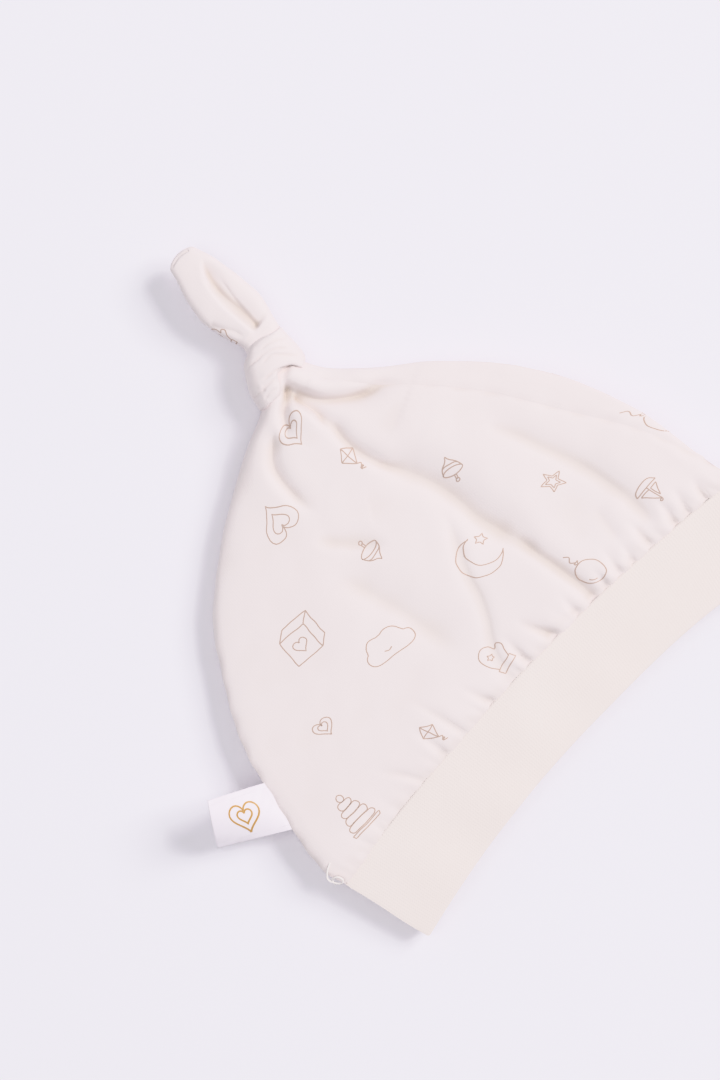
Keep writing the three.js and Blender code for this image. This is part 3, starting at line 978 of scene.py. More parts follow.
@dataclass(frozen=True)
class CrownPanel:
    """A panel of the crown, gathered at the cuff and drawn together at the knot.

    Attributes:
        panel: which of the two it is.
        rows: vertices along it.
        columns: vertices across it.
        wall: the jersey's thickness in mm.
        tuck: how far it runs on under the cuff.
        neck: how far from the cuff seam it ends, inside the knot.
        blouse: how far the gathered cloth stands out over the seam.
        blouse_rise: the distance in which it does so.
        blouse_reach: and in which it goes back to the plain tube.
        cuff_dip: how far the cloth goes under at the cuff seam.
        seam_dip: depth of the side seams' groove.
        seam_width: half its width.
        seam_pull: distance between two places where those seams pull, along them.
        stitch: length of the cuff seam's stitches.
    """

    panel: Panel
    rows: int = 168
    columns: int = 236
    wall: float = 0.7
    tuck: float = 0.9
    neck: float = 115.0
    blouse: float = 1.5
    blouse_rise: float = 4.0
    blouse_reach: float = 40.0
    cuff_dip: float = 0.9
    seam_dip: float = 0.45
    seam_width: float = 1.4
    seam_pull: float = 7.3
    stitch: float = 1.7

    def build(self) -> Sheet:
        """Shapes the cloth and makes the piece.

        Returns:
            The finished sheet, for the print to lie on.
        """
        rows = np.linspace(-self.tuck, self.neck, self.rows)
        seam = np.radians(FORM.sections.at("seam", rows))
        straight = np.full_like(rows, math.pi)
        if self.panel is Panel.FRONT:
            sheet, angle = FORM.even_sheet(rows, straight, seam, self.columns)
        else:
            sheet, angle = FORM.even_sheet(rows, seam + 2 * math.pi, straight, self.columns)
        height = self.shared_relief(sheet, angle) + self.own_relief(sheet)
        t = sheet.cloth[..., 1]
        relief = FORM.outward(t, angle) * height[..., None]
        sheet = Sheet(sheet.places + relief, sheet.cloth)
        sheet.places[..., 2] = np.maximum(sheet.places[..., 2], 0.03)  # both stay above the floor
        lining = FORM.place(t, angle, self.wall) + relief
        lining[..., 2] = np.maximum(lining[..., 2], 0.3)
        places, faces, cloth = thick_sheet(sheet, self.wall, lining)
        # painted shade: the front's creases, and a band along the cuff seam, get a darker, warmer colour
        # through this mask
        crease = 0.9 * hollows(height, 11, 1.1) * smooth_step(0.5, 3.0, t) * (self.panel is Panel.FRONT)
        # and a little painted shade along the cuff seam, unevenly
        crease += 0.2 * np.exp(-((t / 3.5) ** 2)) * (0.7 + 0.3 * rolling(t, angle * 60, 5.0, seed=14))
        name = self.panel.value
        both = np.concatenate([crease.ravel(), crease.ravel()])
        new_piece(name, places, faces, cloth, JERSEY.material(), "jersey", [name], crease=both, sharp=60.0)
        return sheet

    def shared_relief(self, sheet: Sheet, angle: Array) -> Array:
        """How far both panels stand off the plain tube, so that they meet along their seams.

        Args:
            sheet: the plain panel.
            angle: the angle round the tube of each of its places.

        Returns:
            The heights.
        """
        x, y = sheet.places[..., 0], sheet.places[..., 1]
        t = sheet.cloth[..., 1]
        inside = np.abs(sheet.cloth[..., 0]).max(axis=1, keepdims=True) - np.abs(sheet.cloth[..., 0])
        above = np.maximum(t, 0.0)
        upper = np.clip(3 * np.sin(angle), 0.0, 1.0)
        height = self.blouse * (1 - np.exp(-above / self.blouse_rise)) * np.exp(-above / self.blouse_reach)
        height *= upper
        height += upper * sum(fold.height(x, y) for fold in FRONT_FOLDS)
        height += 0.3 * rolling(x, y, 34.0, seed=2)
        pucker = 1 + 0.35 * np.sin(2 * math.pi * t / self.seam_pull + np.sign(np.cos(angle)))
        side = self.seam_dip * pucker * np.exp(-((inside / self.seam_width) ** 1.5))
        cuff = self.cuff_dip * np.exp(-(np.maximum(t + self.tuck, 0.0) / 0.8))
        return height - side - cuff

    def own_relief(self, sheet: Sheet) -> Array:
        """The panel's own puckers and unevenness, which die out at its side seams.

        Args:
            sheet: the plain panel.

        Returns:
            The heights.
        """
        x, y = sheet.places[..., 0], sheet.places[..., 1]
        across, t = sheet.cloth[..., 0], sheet.cloth[..., 1]
        half = float(across[0].max())
        inside = np.abs(across).max(axis=1, keepdims=True) - np.abs(across)
        height = GATHERS[self.panel].height(across, t, half)
        if self.panel is Panel.FRONT:
            for pucker in LONG_PUCKERS:
                height += pucker.height(x, y)
            # shallower where the band holds them, and on the hat's left
            height *= (0.25 + 0.75 * smooth_step(-0.3, 1.6, t)) * (0.6 + 0.4 * smooth_step(-35.0, 10.0, x))
        height += 0.06 * rolling(x, y, 12.0, seed=5 if self.panel is Panel.FRONT else 6)
        # the seam's stitches pull the cloth in at each of their steps
        height += 0.1 * np.cos(2 * math.pi * across / self.stitch) * np.exp(-((t / 1.2) ** 2))
        return height * smooth_step(0.0, 4.0, inside)


@dataclass(frozen=True)
class Cuff:
    """The band round the opening: rib knit folded double, with a round fold at the brim.

    Attributes:
        columns: vertices round it.
        depth: from the seam to the brim, at the sides.
        wall: thickness of the two layers together.
        tuck: how far it runs on under the crown's edge.
        dip: how far its edge goes under at the seam.
        stitching: place of the seam's stitch line on it, half the line's width and its depth.
    """

    columns: int = 400
    depth: float = 27.3
    wall: float = 1.3
    tuck: float = 0.5
    dip: float = 0.35
    stitching: tuple[float, float, float] = (-0.9, 0.3, 0.12)

    def build(self) -> None:
        """Shapes the band and makes the piece."""
        radius = self.wall / 2
        brim = radius - self.depth
        outside = np.linspace(self.tuck, brim, 38)
        turn = np.linspace(0.0, math.pi, 10)[1:-1]
        inside = np.linspace(brim, self.tuck, 20)
        down = np.concatenate([outside, brim - radius * np.sin(turn), inside])
        deep = np.concatenate([0 * outside, radius * (1 - np.cos(turn)), self.wall + 0 * inside])
        t, angle = np.meshgrid(down, np.linspace(0.0, 2 * math.pi, self.columns + 1), indexing="ij")
        inset = deep[:, None] + 0 * t
        places = FORM.place(t, angle, inset)
        x, y = places[..., 0], places[..., 1]
        ripple = 0.2 * rolling(x, y, 26.0, seed=3) * smooth_step(0.0, -6.0, t) * (angle < math.pi)
        line, width, depth = self.stitching
        dip = self.dip * np.exp(-(((t - self.tuck) / 0.8) ** 2)) * (inset == 0)
        dip += depth * np.exp(-(((t - line) / width) ** 2)) * (inset == 0)
        shaped = places + FORM.outward(t, angle) * (ripple - dip)[..., None]
        shaped[..., 2] = np.maximum(shaped[..., 2], 0.02)
        around = run_along(places[0])
        cloth = np.stack(np.meshgrid(around, run_along(np.stack([down, deep], 1))), -1)
        new_piece(
            "cuff",
            shaped[:, :-1].reshape(-1, 3),
            grid_faces(len(down), self.columns, closed=True, looped=True),
            cloth[:, :-1].reshape(-1, 2),
            RIB.material(),
            "rib_band",
            ["cuff"],
            girth=float(around[-1]),
        )


ROLL_COLUMNS = ("y", "x", "z", "half_width", "half_height")


@dataclass(frozen=True)
class Roll:
    """A soft body of gathered cloth: rounded sections along the hat, closed at both ends.

    Attributes:
        sections: its middle, half-width and half-height at each y, in the columns above.
        rows: vertices along it.
        columns: vertices round it.
        closing: lengths over which the two ends round off, in mm.
        fullness: below 1 the section is fuller than an ellipse.
    """

    sections: SectionTable
    rows: int
    columns: int
    closing: Pair
    fullness: float

    def sheet(self) -> Sheet:
        """The plain body as a closed sheet.

        Returns:
            The sheet, whose last column lies on its first.
        """
        first, last = self.sections.rows[0][0], self.sections.rows[-1][0]
        ease = (1 - np.cos(np.linspace(0.0, math.pi, self.rows))) / 2
        y = first + (last - first) * (0.75 * np.linspace(0.0, 1.0, self.rows) + 0.25 * ease)
        start = np.clip(1 - (y - first) / self.closing[0], 0.0, 0.999)
        end = np.clip(1 - (last - y) / self.closing[1], 0.0, 0.999)
        close = np.sqrt((1 - start**2) * (1 - end**2))[:, None]
        angle = np.linspace(2 * math.pi, 0.0, self.columns + 1)
        x, z, half_width, half_height = (
            self.sections.at(name, y)[:, None] for name in ("x", "z", "half_width", "half_height")
        )
        cosine, sine = np.cos(angle), np.sin(angle)
        places = np.stack([
            x + half_width * close * np.sign(cosine) * np.abs(cosine) ** self.fullness,
            y[:, None] + 0 * angle,
            z + half_height * close * np.sign(sine) * np.abs(sine) ** self.fullness,
        ], -1)
        girth = math.pi * (half_width + half_height)
        cloth = np.stack([(1 - angle / (2 * math.pi)) * girth.mean() + 0 * y[:, None], places[..., 1]], -1)
        return Sheet(places, cloth, True)

    def make(self, name: str, plain: Sheet, height: Array) -> Sheet:
        """Makes the piece from its plain sheet and its relief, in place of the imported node.

        Args:
            name: the piece's name and the node's.
            plain: the body before its creases.
            height: how far they move the cloth outwards.

        Returns:
            The finished sheet, for the print to lie on.
        """
        sheet = plain.moved(height)
        new_piece(
            name,
            sheet.places[:, :-1].reshape(-1, 3),
            capped_faces(self.rows, self.columns),
            sheet.cloth[:, :-1].reshape(-1, 2),
            JERSEY.material(),
            "jersey",
            [name],
            girth=float(sheet.cloth[0, -1, 0]),
            # painted shade in the creases, by how deep each place lies in one
            crease=0.9 * hollows(height[:, :-1], 9, 0.9, closed=True),
        )
        return sheet


def wrinkle(depth: float, *line: Pair) -> Fold:
    """A crisp edge of one of the knot's wraps: the cloth beside it stands up a little."""
    return Fold(depth, (0.55, 0.4), (0.3, 0.05), 1.8, (0.2, 0.2), line, 1.2)


KNOT_CREASES = (
    wrinkle(
        0.4, (5.4, 120.2), (6.9, 120.6), (10.0, 120.2), (12.3, 120.0), (14.5, 119.3), (16.4, 118.1),
        (19.3, 115.8),
    ),
    wrinkle(0.3, (12.0, 121.6), (15.1, 121.1), (17.9, 120.1), (20.6, 118.4)),
    wrinkle(0.35, (9.4, 118.4), (13.4, 118.3), (16.2, 115.9), (19.6, 112.0)),
    wrinkle(
        0.45, (6.4, 115.3), (7.6, 114.9), (10.1, 114.6), (12.2, 114.0), (13.8, 113.0), (15.4, 111.8),
        (16.6, 109.8),
    ),
    wrinkle(0.4, (3.9, 113.1), (5.5, 113.2), (9.3, 112.8), (11.0, 111.9)),
    wrinkle(0.3, (1.4, 113.2), (2.6, 113.4), (5.8, 112.6)),
    wrinkle(0.35, (0.2, 107.9), (2.4, 108.6), (4.6, 108.8)),
    wrinkle(0.25, (3.0, 111.0), (6.0, 111.2), (8.6, 110.4)),
)
TAIL_CREASES = (
    Fold(2.3, (3.4, 0.8), (0.2, 0.5), 5.0, (0.22, 0.05), (
        (20.6, 151.5), (19.1, 149.5), (17.4, 146.4), (16.2, 142.8), (15.6, 138.0), (15.7, 134.0),
        (15.9, 130.5), (16.3, 126.0),
    ), 1.6),
    Fold(0.25, (0.6, 0.6), (0.15, 0.1), 1.6, (0.3, 0.1), (
        (20.0, 145.5), (18.9, 141.4), (17.8, 135.3), (17.2, 129.3), (16.9, 125.9),
    )),
    Fold(0.35, (1.4, 1.0), (0.0, 0.2), 3.0, (0.1, 0.3), (
        (7.6, 137.0), (9.0, 134.2), (11.1, 130.8), (12.4, 126.6),
    )),
    Fold(0.6, (0.4, 0.4), (0.1, 0.1), 1.0, (0.05, 0.05), ((12.0, 155.6), (15.6, 156.3), (19.0, 155.6))),
)


def edge_line(x: Array, points: Line) -> Array:
    """How far up the hat an edge that is given by points lies, at each x."""
    return hermite(*np.transpose(points), x)


@dataclass(frozen=True)
class Knot:
    """The overhand knot in the end of the tube, with its wrap of cloth lying across the neck.

    Attributes:
        body: its plain form.
        lower: its edge over the crown.
        upper: its edge over the tail.
        reach: how far from the lower and the upper end those edges shape it, in mm.
    """

    body: Roll = Roll(
        SectionTable(
            ROLL_COLUMNS,
            (
                (109.3, 9.1, 7.9, 9.0, 6.2),
                (111.6, 10.4, 8.0, 9.8, 7.2),
                (115.0, 11.2, 8.0, 9.7, 7.6),
                (119.0, 12.6, 8.1, 8.7, 7.5),
                (122.6, 14.1, 8.3, 7.3, 6.7),
                (125.4, 15.0, 8.5, 5.5, 5.0),
            ),
        ),
        rows=110,
        columns=230,
        closing=(1.6, 2.4),
        fullness=0.75,
    )
    lower: Line = (
        (0.1, 108.6), (2.4, 108.1), (4.9, 107.9), (7.0, 107.9), (8.7, 109.0), (9.5, 109.8),
        (10.2, 111.6), (11.1, 112.8), (12.7, 112.7), (14.3, 112.0), (15.6, 111.0), (16.4, 109.8),
        (17.2, 108.5), (19.0, 109.2),
    )
    upper: Line = (
        (8.9, 124.2), (11.0, 125.2), (13.2, 125.2), (15.7, 124.5), (17.9, 123.5), (20.2, 123.1),
        (21.5, 123.5),
    )
    reach: Pair = (5.5, 4.5)

    def build(self) -> Sheet:
        """Shapes the knot and makes the piece.

        Returns:
            The finished sheet, for the print to lie on.
        """
        plain = self.body.sheet()
        x, y = plain.places[..., 0], plain.places[..., 1]
        first, last = self.body.sections.rows[0][0], self.body.sections.rows[-1][0]
        down = (edge_line(x, self.lower) - first) * smooth_step(first + self.reach[0], first, y)
        up = (edge_line(x, self.upper) - last) * smooth_step(last - self.reach[1], last, y)
        y += down + up
        height = sum(crease.height(x, y) for crease in KNOT_CREASES) + 0.08 * rolling(x, y, 7.0, seed=9)
        return self.body.make("knot", Sheet(plain.places, plain.cloth, True), height)


@dataclass(frozen=True)
class Tail:
    """The end of the tube beyond the knot: flattened cloth with lengthwise folds and a sewn tip.

    Attributes:
        body: its plain form.
    """

    body: Roll = Roll(
        SectionTable(
            ROLL_COLUMNS,
            (
                (121.5, 14.7, 8.3, 6.3, 4.7),
                (125.5, 15.8, 8.2, 6.2, 4.6),
                (129.0, 15.9, 8.3, 7.2, 4.6),
                (134.0, 15.8, 9.0, 8.2, 4.1),
                (139.0, 15.3, 9.8, 8.3, 3.7),
                (144.0, 15.4, 10.6, 7.7, 3.3),
                (149.0, 15.8, 11.0, 6.6, 3.0),
                (153.0, 15.9, 11.2, 5.4, 2.7),
                (156.0, 15.9, 11.2, 4.4, 2.3),
                (157.3, 15.9, 11.1, 3.4, 2.0),
            ),
        ),
        rows=150,
        columns=190,
        closing=(1.0, 2.2),
        fullness=0.62,
    )

    def build(self) -> Sheet:
        """Shapes the tail and makes the piece.

        Returns:
            The finished sheet, for the print to lie on.
        """
        plain = self.body.sheet()
        x, y, z = np.moveaxis(plain.places, -1, 0)
        above = smooth_step(0.0, 3.2, z - self.body.sections.at("z", y))
        height = sum(crease.height(x, y) for crease in TAIL_CREASES) * above
        return self.body.make("knot_tail", plain, height + 0.08 * rolling(x, y, 9.0, seed=12))


# ---- ribbons, print and label ----

JITTER = 2.6  # how far a motif may lie from its regular place, in mm
ROOT = 0.12  # depth in mm to which drawn lines go into the cloth, so that no gap shows under them


def ribbon_mesh(
    sheet: Sheet, strokes: Sequence[Array], width: float, lift: float
) -> tuple[Array, Array, Array]:
    """Lays drawn lines on a sheet as thin raised strips.

    Args:
        sheet: the cloth, whose rows and columns the strokes' points count.
        strokes: lines in cloth millimetres, one row for each point.
        width: the strips' width in mm.
        lift: how far they stand above the cloth.

    Returns:
        Places, faces and cloth coordinates of all the strips.
    """
    heights = sheet.cloth[:, 0, 1]
    columns = sheet.places.shape[1] - 1
    places, faces, cloths, count = [], [], [], 0
    for stroke in strokes:
        heading = np.gradient(stroke, axis=0)
        heading /= np.maximum(np.linalg.norm(heading, axis=1, keepdims=True), 1e-9)
        beside = np.stack([-heading[:, 1], heading[:, 0]], 1)
        rings = []
        for off, height in ((0.5, lift), (-0.5, lift), (-0.5, -ROOT), (0.5, -ROOT)):
            at = stroke + beside * off * width
            row = np.interp(at[:, 1], heights, np.arange(len(heights)))
            low, high = sheet.sides(at[:, 1])
            column = (at[:, 0] - low) / (high - low) * columns
            spot = sheet.sample(sheet.places, row, column)
            rings.append(spot + sheet.sample(sheet.normals, row, column) * height)
        body = np.stack(rings, 1)
        sides = grid_faces(len(stroke), 4, closed=True)
        last = (len(stroke) - 1) * 4
        ends = np.array([[3, 2, 1, 0], [last, last + 1, last + 2, last + 3]])
        places.append(body.reshape(-1, 3))
        cloths.append(np.repeat(stroke, 4, axis=0))
        faces.append(np.concatenate([sides, ends]) + count)
        count += body.shape[0] * 4
    return np.concatenate(places), np.concatenate(faces), np.concatenate(cloths)


def arc(x: float, y: float, radius: float, start: float, end: float, tall: float = 1.0) -> Array:
    """Points on an arc from one angle in degrees to another; tall stretches it upwards."""
    angle = np.radians(np.linspace(start, end, max(8, int(abs(end - start) * radius / 14))))
    return np.stack([x + radius * np.cos(angle), y + radius * tall * np.sin(angle)], 1)


def path(*points: Pair) -> Array:
    """Straight lines through points."""
    return np.array(points, float)


def smooth(*points: Pair) -> Array:
    """A smooth line through points."""
    return curve_through(points, 8 * len(points))


class Motif(Enum):
    """The plain little line drawings of the print, each about 12 mm high."""

    MOON = "moon"
    STAR = "star"
    CLOUD = "cloud"
    HEART = "heart"
    BOAT = "boat"
    BALLOON = "balloon"
    KITE = "kite"
    RINGS = "rings"
    BLOCK = "block"
    TOP = "top"
    MITTEN = "mitten"


def star_outline(x: float, y: float, radius: float) -> Array:
    """A closed five-pointed star.

    Args:
        x: its middle.
        y: its middle's height.
        radius: from there to its points.

    Returns:
        The line's points.
    """
    angle = np.radians(90 + 36 * np.arange(11))
    reach = np.where(np.arange(11) % 2 == 0, radius, radius * 0.47)
    return np.stack([x + reach * np.cos(angle), y + reach * np.sin(angle)], 1)


def heart_outline(x: float, y: float, size: float) -> Array:
    """A closed heart.

    Args:
        x: its middle.
        y: its middle's height.
        size: half its width.

    Returns:
        The line's points.
    """
    a = np.linspace(0.0, 2 * math.pi, 40)
    across = size * np.sin(a) ** 3
    up = size * (13 * np.cos(a) - 5 * np.cos(2 * a) - 2 * np.cos(3 * a) - np.cos(4 * a)) / 16
    return np.stack([x + across, y + up], 1)


# Each drawing's lines, in mm round its middle.
DRAWINGS: dict[Motif, list[Array]] = {
    Motif.MOON: [
        arc(0, 0, 5.6, 62, 318),
        arc(2.4, 0.5, 4.6, 84, 298),
        star_outline(4.2, 2.4, 1.7),
    ],
    Motif.STAR: [star_outline(0, 0, 5.6), star_outline(0, 0, 3.4)],
    Motif.CLOUD: [
        np.concatenate([
            arc(-4.4, -1.2, 2.2, 270, 115),
            arc(-2.2, 1.2, 2.8, 168, 62),
            arc(2.0, 1.0, 3.2, 118, 22),
            arc(5.0, -1.2, 2.2, 75, -90),
            path((-4.4, -3.4)),
        ]),
        smooth((-1.6, -0.9), (-0.6, -1.4), (0.6, -0.9)),
    ],
    Motif.HEART: [heart_outline(0, 0.3, 5.0), heart_outline(0, 0.4, 2.6)],
    Motif.BOAT: [
        np.concatenate([
            path((-6, -2.2), (6, -2.2)),
            smooth((6, -2.2), (4.4, -4.4), (0, -5.2), (-4.4, -4.4), (-6, -2.2)),
        ]),
        path((0, -2.2), (0, 6.2), (5, -0.9), (0, -0.9)),
        path((-0.9, 4.2), (-0.9, -0.9), (-4.6, -0.9), (-0.9, 4.2)),
        smooth((0, 6.2), (1.0, 6.9), (1.9, 6.4), (0, 5.6)),
    ],
    Motif.BALLOON: [
        arc(0, 2.2, 3.9, -90, 270, 1.15),
        path((-0.8, -3.1), (0, -2.3), (0.8, -3.1), (-0.8, -3.1)),
        smooth((0, -3.1), (0.9, -4.4), (-0.5, -5.8), (0.4, -7.2)),
        arc(0.2, 2.6, 2.4, 20, 75, 1.15),
    ],
    Motif.KITE: [
        path((0, 6), (4, 1.6), (0, -4), (-4, 1.6), (0, 6)),
        path((0, 6), (0, -4)),
        path((-4, 1.6), (4, 1.6)),
        smooth((0, -4), (1.3, -5.3), (-0.6, -6.6), (1.2, -8)),
        path((-0.5, -6.1), (1.0, -6.9), (0.9, -5.9), (-0.6, -7.2), (-0.5, -6.1)),
    ],
    Motif.RINGS: [
        *[
            np.concatenate([arc(-w, y, 1.15, 90, 270), arc(w, y, 1.15, -90, 90), path((-w, y + 1.15))])
            for w, y in ((3.7, -3.6), (2.9, -1.2), (2.1, 1.2), (1.2, 3.6))
        ],
        arc(0, 5.8, 1.1, -90, 270),
        path((-5.4, -5.2), (5.4, -5.2), (5.0, -6.1), (-5.0, -6.1), (-5.4, -5.2)),
    ],
    Motif.BLOCK: [
        path((-4.6, -4.6), (2.8, -4.6), (2.8, 2.8), (-4.6, 2.8), (-4.6, -4.6)),
        path((-4.6, 2.8), (-2.0, 4.9), (5.2, 4.9), (2.8, 2.8)),
        path((5.2, 4.9), (5.2, -2.4), (2.8, -4.6)),
        heart_outline(-0.9, -0.8, 1.9),
    ],
    Motif.TOP: [
        np.concatenate([
            arc(0, 1.4, 5.2, 180, 0, 0.42),
            smooth((5.2, 1.4), (4.0, -1.4), (1.0, -4.2), (0, -5.8)),
        ]),
        smooth((-5.2, 1.4), (-4.0, -1.4), (-1.0, -4.2), (0, -5.8)),
        arc(0, 1.4, 5.2, 180, 360, 0.3),
        arc(0, -0.9, 4.1, 195, 345, 0.3),
        path((-0.5, 3.5), (-0.5, 5.6), (0.5, 5.6), (0.5, 3.5)),
        arc(0, 6.4, 0.9, -90, 270),
    ],
    Motif.MITTEN: [
        smooth(
            (-2.8, -3), (-3.3, 0.4), (-2.9, 4), (0.2, 5.9), (2.7, 4.2), (2.9, 1.9), (4.6, 2.6),
            (5.4, 1.2), (4.0, -0.9), (2.7, -3),
        ),
        path((-3.5, -3), (3.3, -3), (3.3, -5.2), (-3.5, -5.2), (-3.5, -3)),
        star_outline(-0.3, 1.6, 1.3),
    ],
}


def even_points(line: Array, step: float) -> Array:
    """The same line with evenly spaced points.

    Args:
        line: its points.
        step: the distance between the new ones.

    Returns:
        The new points.
    """
    at = run_along(line)
    goal = np.linspace(0.0, at[-1], max(3, int(at[-1] / step) + 1))
    return np.stack([np.interp(goal, at, line[:, k]) for k in (0, 1)], 1)


@dataclass(frozen=True)
class Print:
    """The all-over print: little toys and skies in thin lines, most of them the same way up.

    Attributes:
        line: the lines' width in mm.
        lift: how far the ink stands above the cloth.
        step: distance between the points of a line.
        scale: the drawings' size.
        sizes: the sizes that the motifs come in, as shares of that.
        turn: how far most of them are turned at most, in degrees.
        upturned: share of them that stand on their heads.
        wobble: how far the hand-drawn lines stray, in mm.
        whole: least distance of a motif's middle from the sides, so that none is a mere stroke.
    """

    line: float = 0.32
    lift: float = 0.045
    step: float = 0.45
    scale: float = 1.0
    sizes: tuple[float, ...] = (0.62, 0.95, 1.15)
    turn: float = 16.0
    upturned: float = 0.3
    wobble: float = 0.09
    whole: float = 5.0

    def place_motifs(self, spots: Sequence[Pair], seed: int) -> list[list[Array]]:
        """Draws a motif at each spot, with a small turn of its own.

        Args:
            spots: places in cloth millimetres.
            seed: picks the motifs and their turns.

        Returns:
            The lines of each.
        """
        draw = np.random.default_rng(seed)
        order: list[Motif] = []
        motifs = []
        for spot in spots:
            if not order:
                order = [list(Motif)[k] for k in draw.permutation(len(Motif))]
            motif = order.pop()
            turn = math.radians(draw.uniform(-self.turn, self.turn))
            turn += math.pi if draw.random() < self.upturned else 0.0
            size = self.scale * draw.choice(self.sizes) * draw.uniform(0.95, 1.05)
            spin = np.array([[math.cos(turn), math.sin(turn)], [-math.sin(turn), math.cos(turn)]])
            lines = []
            for stroke in DRAWINGS[motif]:
                line = even_points(stroke, self.step) * size
                x, y = (line + spot).T
                stray = np.stack([rolling(x, y, 4.0, seed=each) for each in (21, 22)], 1)
                lines.append((line + self.wobble * stray) @ spin + spot)
            motifs.append(lines)
        return motifs

    def lay(
        self, name: str, sheet: Sheet, spots: Sequence[Pair], seed: int, low: float, high: float, side: float
    ) -> None:
        """Prints a piece of cloth.

        Args:
            name: the new piece's name.
            sheet: the cloth.
            spots: the motifs' places in cloth millimetres; those beyond its sides are left out.
            seed: picks the motifs.
            low: the first cloth height that takes ink.
            high: the last.
            side: width of the bare edge on either side.
        """

        def within(u: Array, v: Array, margin: float) -> Array:
            """Whether places lie on the cloth and at least a margin from its sides."""
            first, last = sheet.sides(v)
            return (u > first + margin) & (u < last - margin)

        inside = [spot for spot in spots if sheet.closed or within(*spot, 1.0)]
        kept = []
        for spot, motif in zip(inside, self.place_motifs(inside, seed)):
            if not (sheet.closed or within(*spot, self.whole)):
                continue
            for line in motif:
                u, v = line.T
                good = (v > low) & (v < high) & within(u, v, side)
                cuts = np.flatnonzero(np.diff(good.astype(int))) + 1
                parts = zip(np.split(line, cuts), np.split(good, cuts))
                kept += [part for part, ok in parts if ok[0] and len(part) >= 3]
        mesh = ribbon_mesh(sheet, kept, self.line, self.lift)
        new_piece(name, *mesh, INK.material(), "jersey", sharp=50.0)


def half_drop(width: float, height: float, low: float, high: float, half: float, seed: int) -> list[Pair]:
    """Places of a printed repeat whose every second row is shifted by half a step.

    Args:
        width: distance between two motifs of a row.
        height: distance between two rows.
        low: height of the first row.
        high: height that no row passes.
        half: half-width of the cloth that is filled.
        seed: picks each place's small shift.

    Returns:
        The places in cloth millimetres.
    """
    draw = np.random.default_rng(seed)
    spots = []
    for j, v in enumerate(np.arange(low, high, height)):
        shift = (j % 2) * width / 2
        for u in np.arange(-math.ceil(half / width) * width, half + width, width) + shift:
            spots.append((u + draw.uniform(-JITTER, JITTER), v + draw.uniform(-JITTER, JITTER)))
    return spots


@dataclass(frozen=True)
class SideLabel:
    """A loop of satin ribbon sewn into the left seam, with a small woven heart on each face.

    Attributes:
        ribbon: the ribbon's thickness in mm.
        slot: half the gap between its two layers.
        seam_t: where the seam holds its two edges, from the cuff seam.
        fold: the folded end's corners.
        heights: of its lower edge, its middle and its upper edge, each at the seam, half-way and at
            the fold; the far corner curls up.
        inside: how far it runs on into the seam.
        columns: vertices across it.
        hearts: half-widths of the woven picture's two outlines.
        thread: width of those outlines.
    """

    ribbon: float = 0.32
    slot: float = 0.16
    seam_t: Pair = (21.7, 36.5)
    fold: tuple[Pair, Pair] = ((-97.0, 33.0), (-88.4, 44.5))
    heights: tuple[tuple[float, float, float], ...] = (
        (9.6, 8.6, 7.4), (9.7, 13.8, 19.0), (9.8, 14.8, 21.8),
    )
    inside: float = 2.4
    columns: int = 60
    hearts: Pair = (4.7, 2.3)
    thread: float = 0.5

    def build(self) -> None:
        """Shapes the loop and makes the label and its woven picture."""
        across = np.linspace(0.0, 1.0, self.columns)
        seam = FORM.place(np.interp(across, (0, 1), self.seam_t), np.full(self.columns, math.pi))
        near, far = np.array(self.fold)
        end = near + (far - near) * across[:, None]
        length = float(np.linalg.norm(end - seam[:, :2], axis=1).mean())
        radius = self.slot + self.ribbon / 2
        out = np.linspace(-self.inside, length - radius, 46)
        turn = np.linspace(0.0, math.pi, 12)[1:-1]
        way = np.concatenate([out, length - radius + radius * np.sin(turn), out[::-1]])
        off = np.concatenate([radius + 0 * out, radius * np.cos(turn), -radius + 0 * out])
        share = (way / length)[:, None]
        base = seam[:, :2] + (end - seam[:, :2]) * share[..., None]
        shares = ((1 - across) * (1 - 2 * across), 4 * across * (1 - across), across * (2 * across - 1))
        lift = 0.2 * np.sin(2.2 * math.pi * share) * np.sin(math.pi * across)
        for line, part in zip(self.heights, shares):
            lift = lift + hermite(np.array([0.0, 0.5, 1.0]), np.array(line), share) * part
        squeeze = np.where(share < 0, 0.4, 1.0)
        middle = np.concatenate([base, (lift + off[:, None] * squeeze)[..., None]], -1)
        run = np.mean([run_along(middle[:, k]) for k in range(self.columns)], axis=0)
        width = float(np.linalg.norm(far - near))
        cloth = np.stack(np.meshgrid((across - 0.5) * width, run), -1)
        sheet = Sheet(middle, cloth)
        if sheet.normals[0, 0, 2] < 0:
            sheet = Sheet(middle[:, ::-1], cloth)
        outer = sheet.moved(np.full(middle.shape[:2], self.ribbon / 2))
        body = thick_sheet(outer, self.ribbon)
        piece = new_piece("side_label", *body, SATIN.material(), "label_ribbon", ["side_label"])
        log.info("side_label cut size: %.1f x %.1f mm", width, run[-1])
        face = float(np.interp(length / 2, out, run[:len(out)]))
        hearts = [even_points(heart_outline(0.0, 0.0, size), 0.25)[:, ::-1] for size in self.hearts]
        picture = [heart + (0.0, spot) for heart in hearts for spot in (face, run[-1] - face)]
        threads = ribbon_mesh(outer, picture, self.thread, 0.05)
        new_piece("label_heart", *threads, OCHRE.material(), "label_ribbon", sharp=50.0)


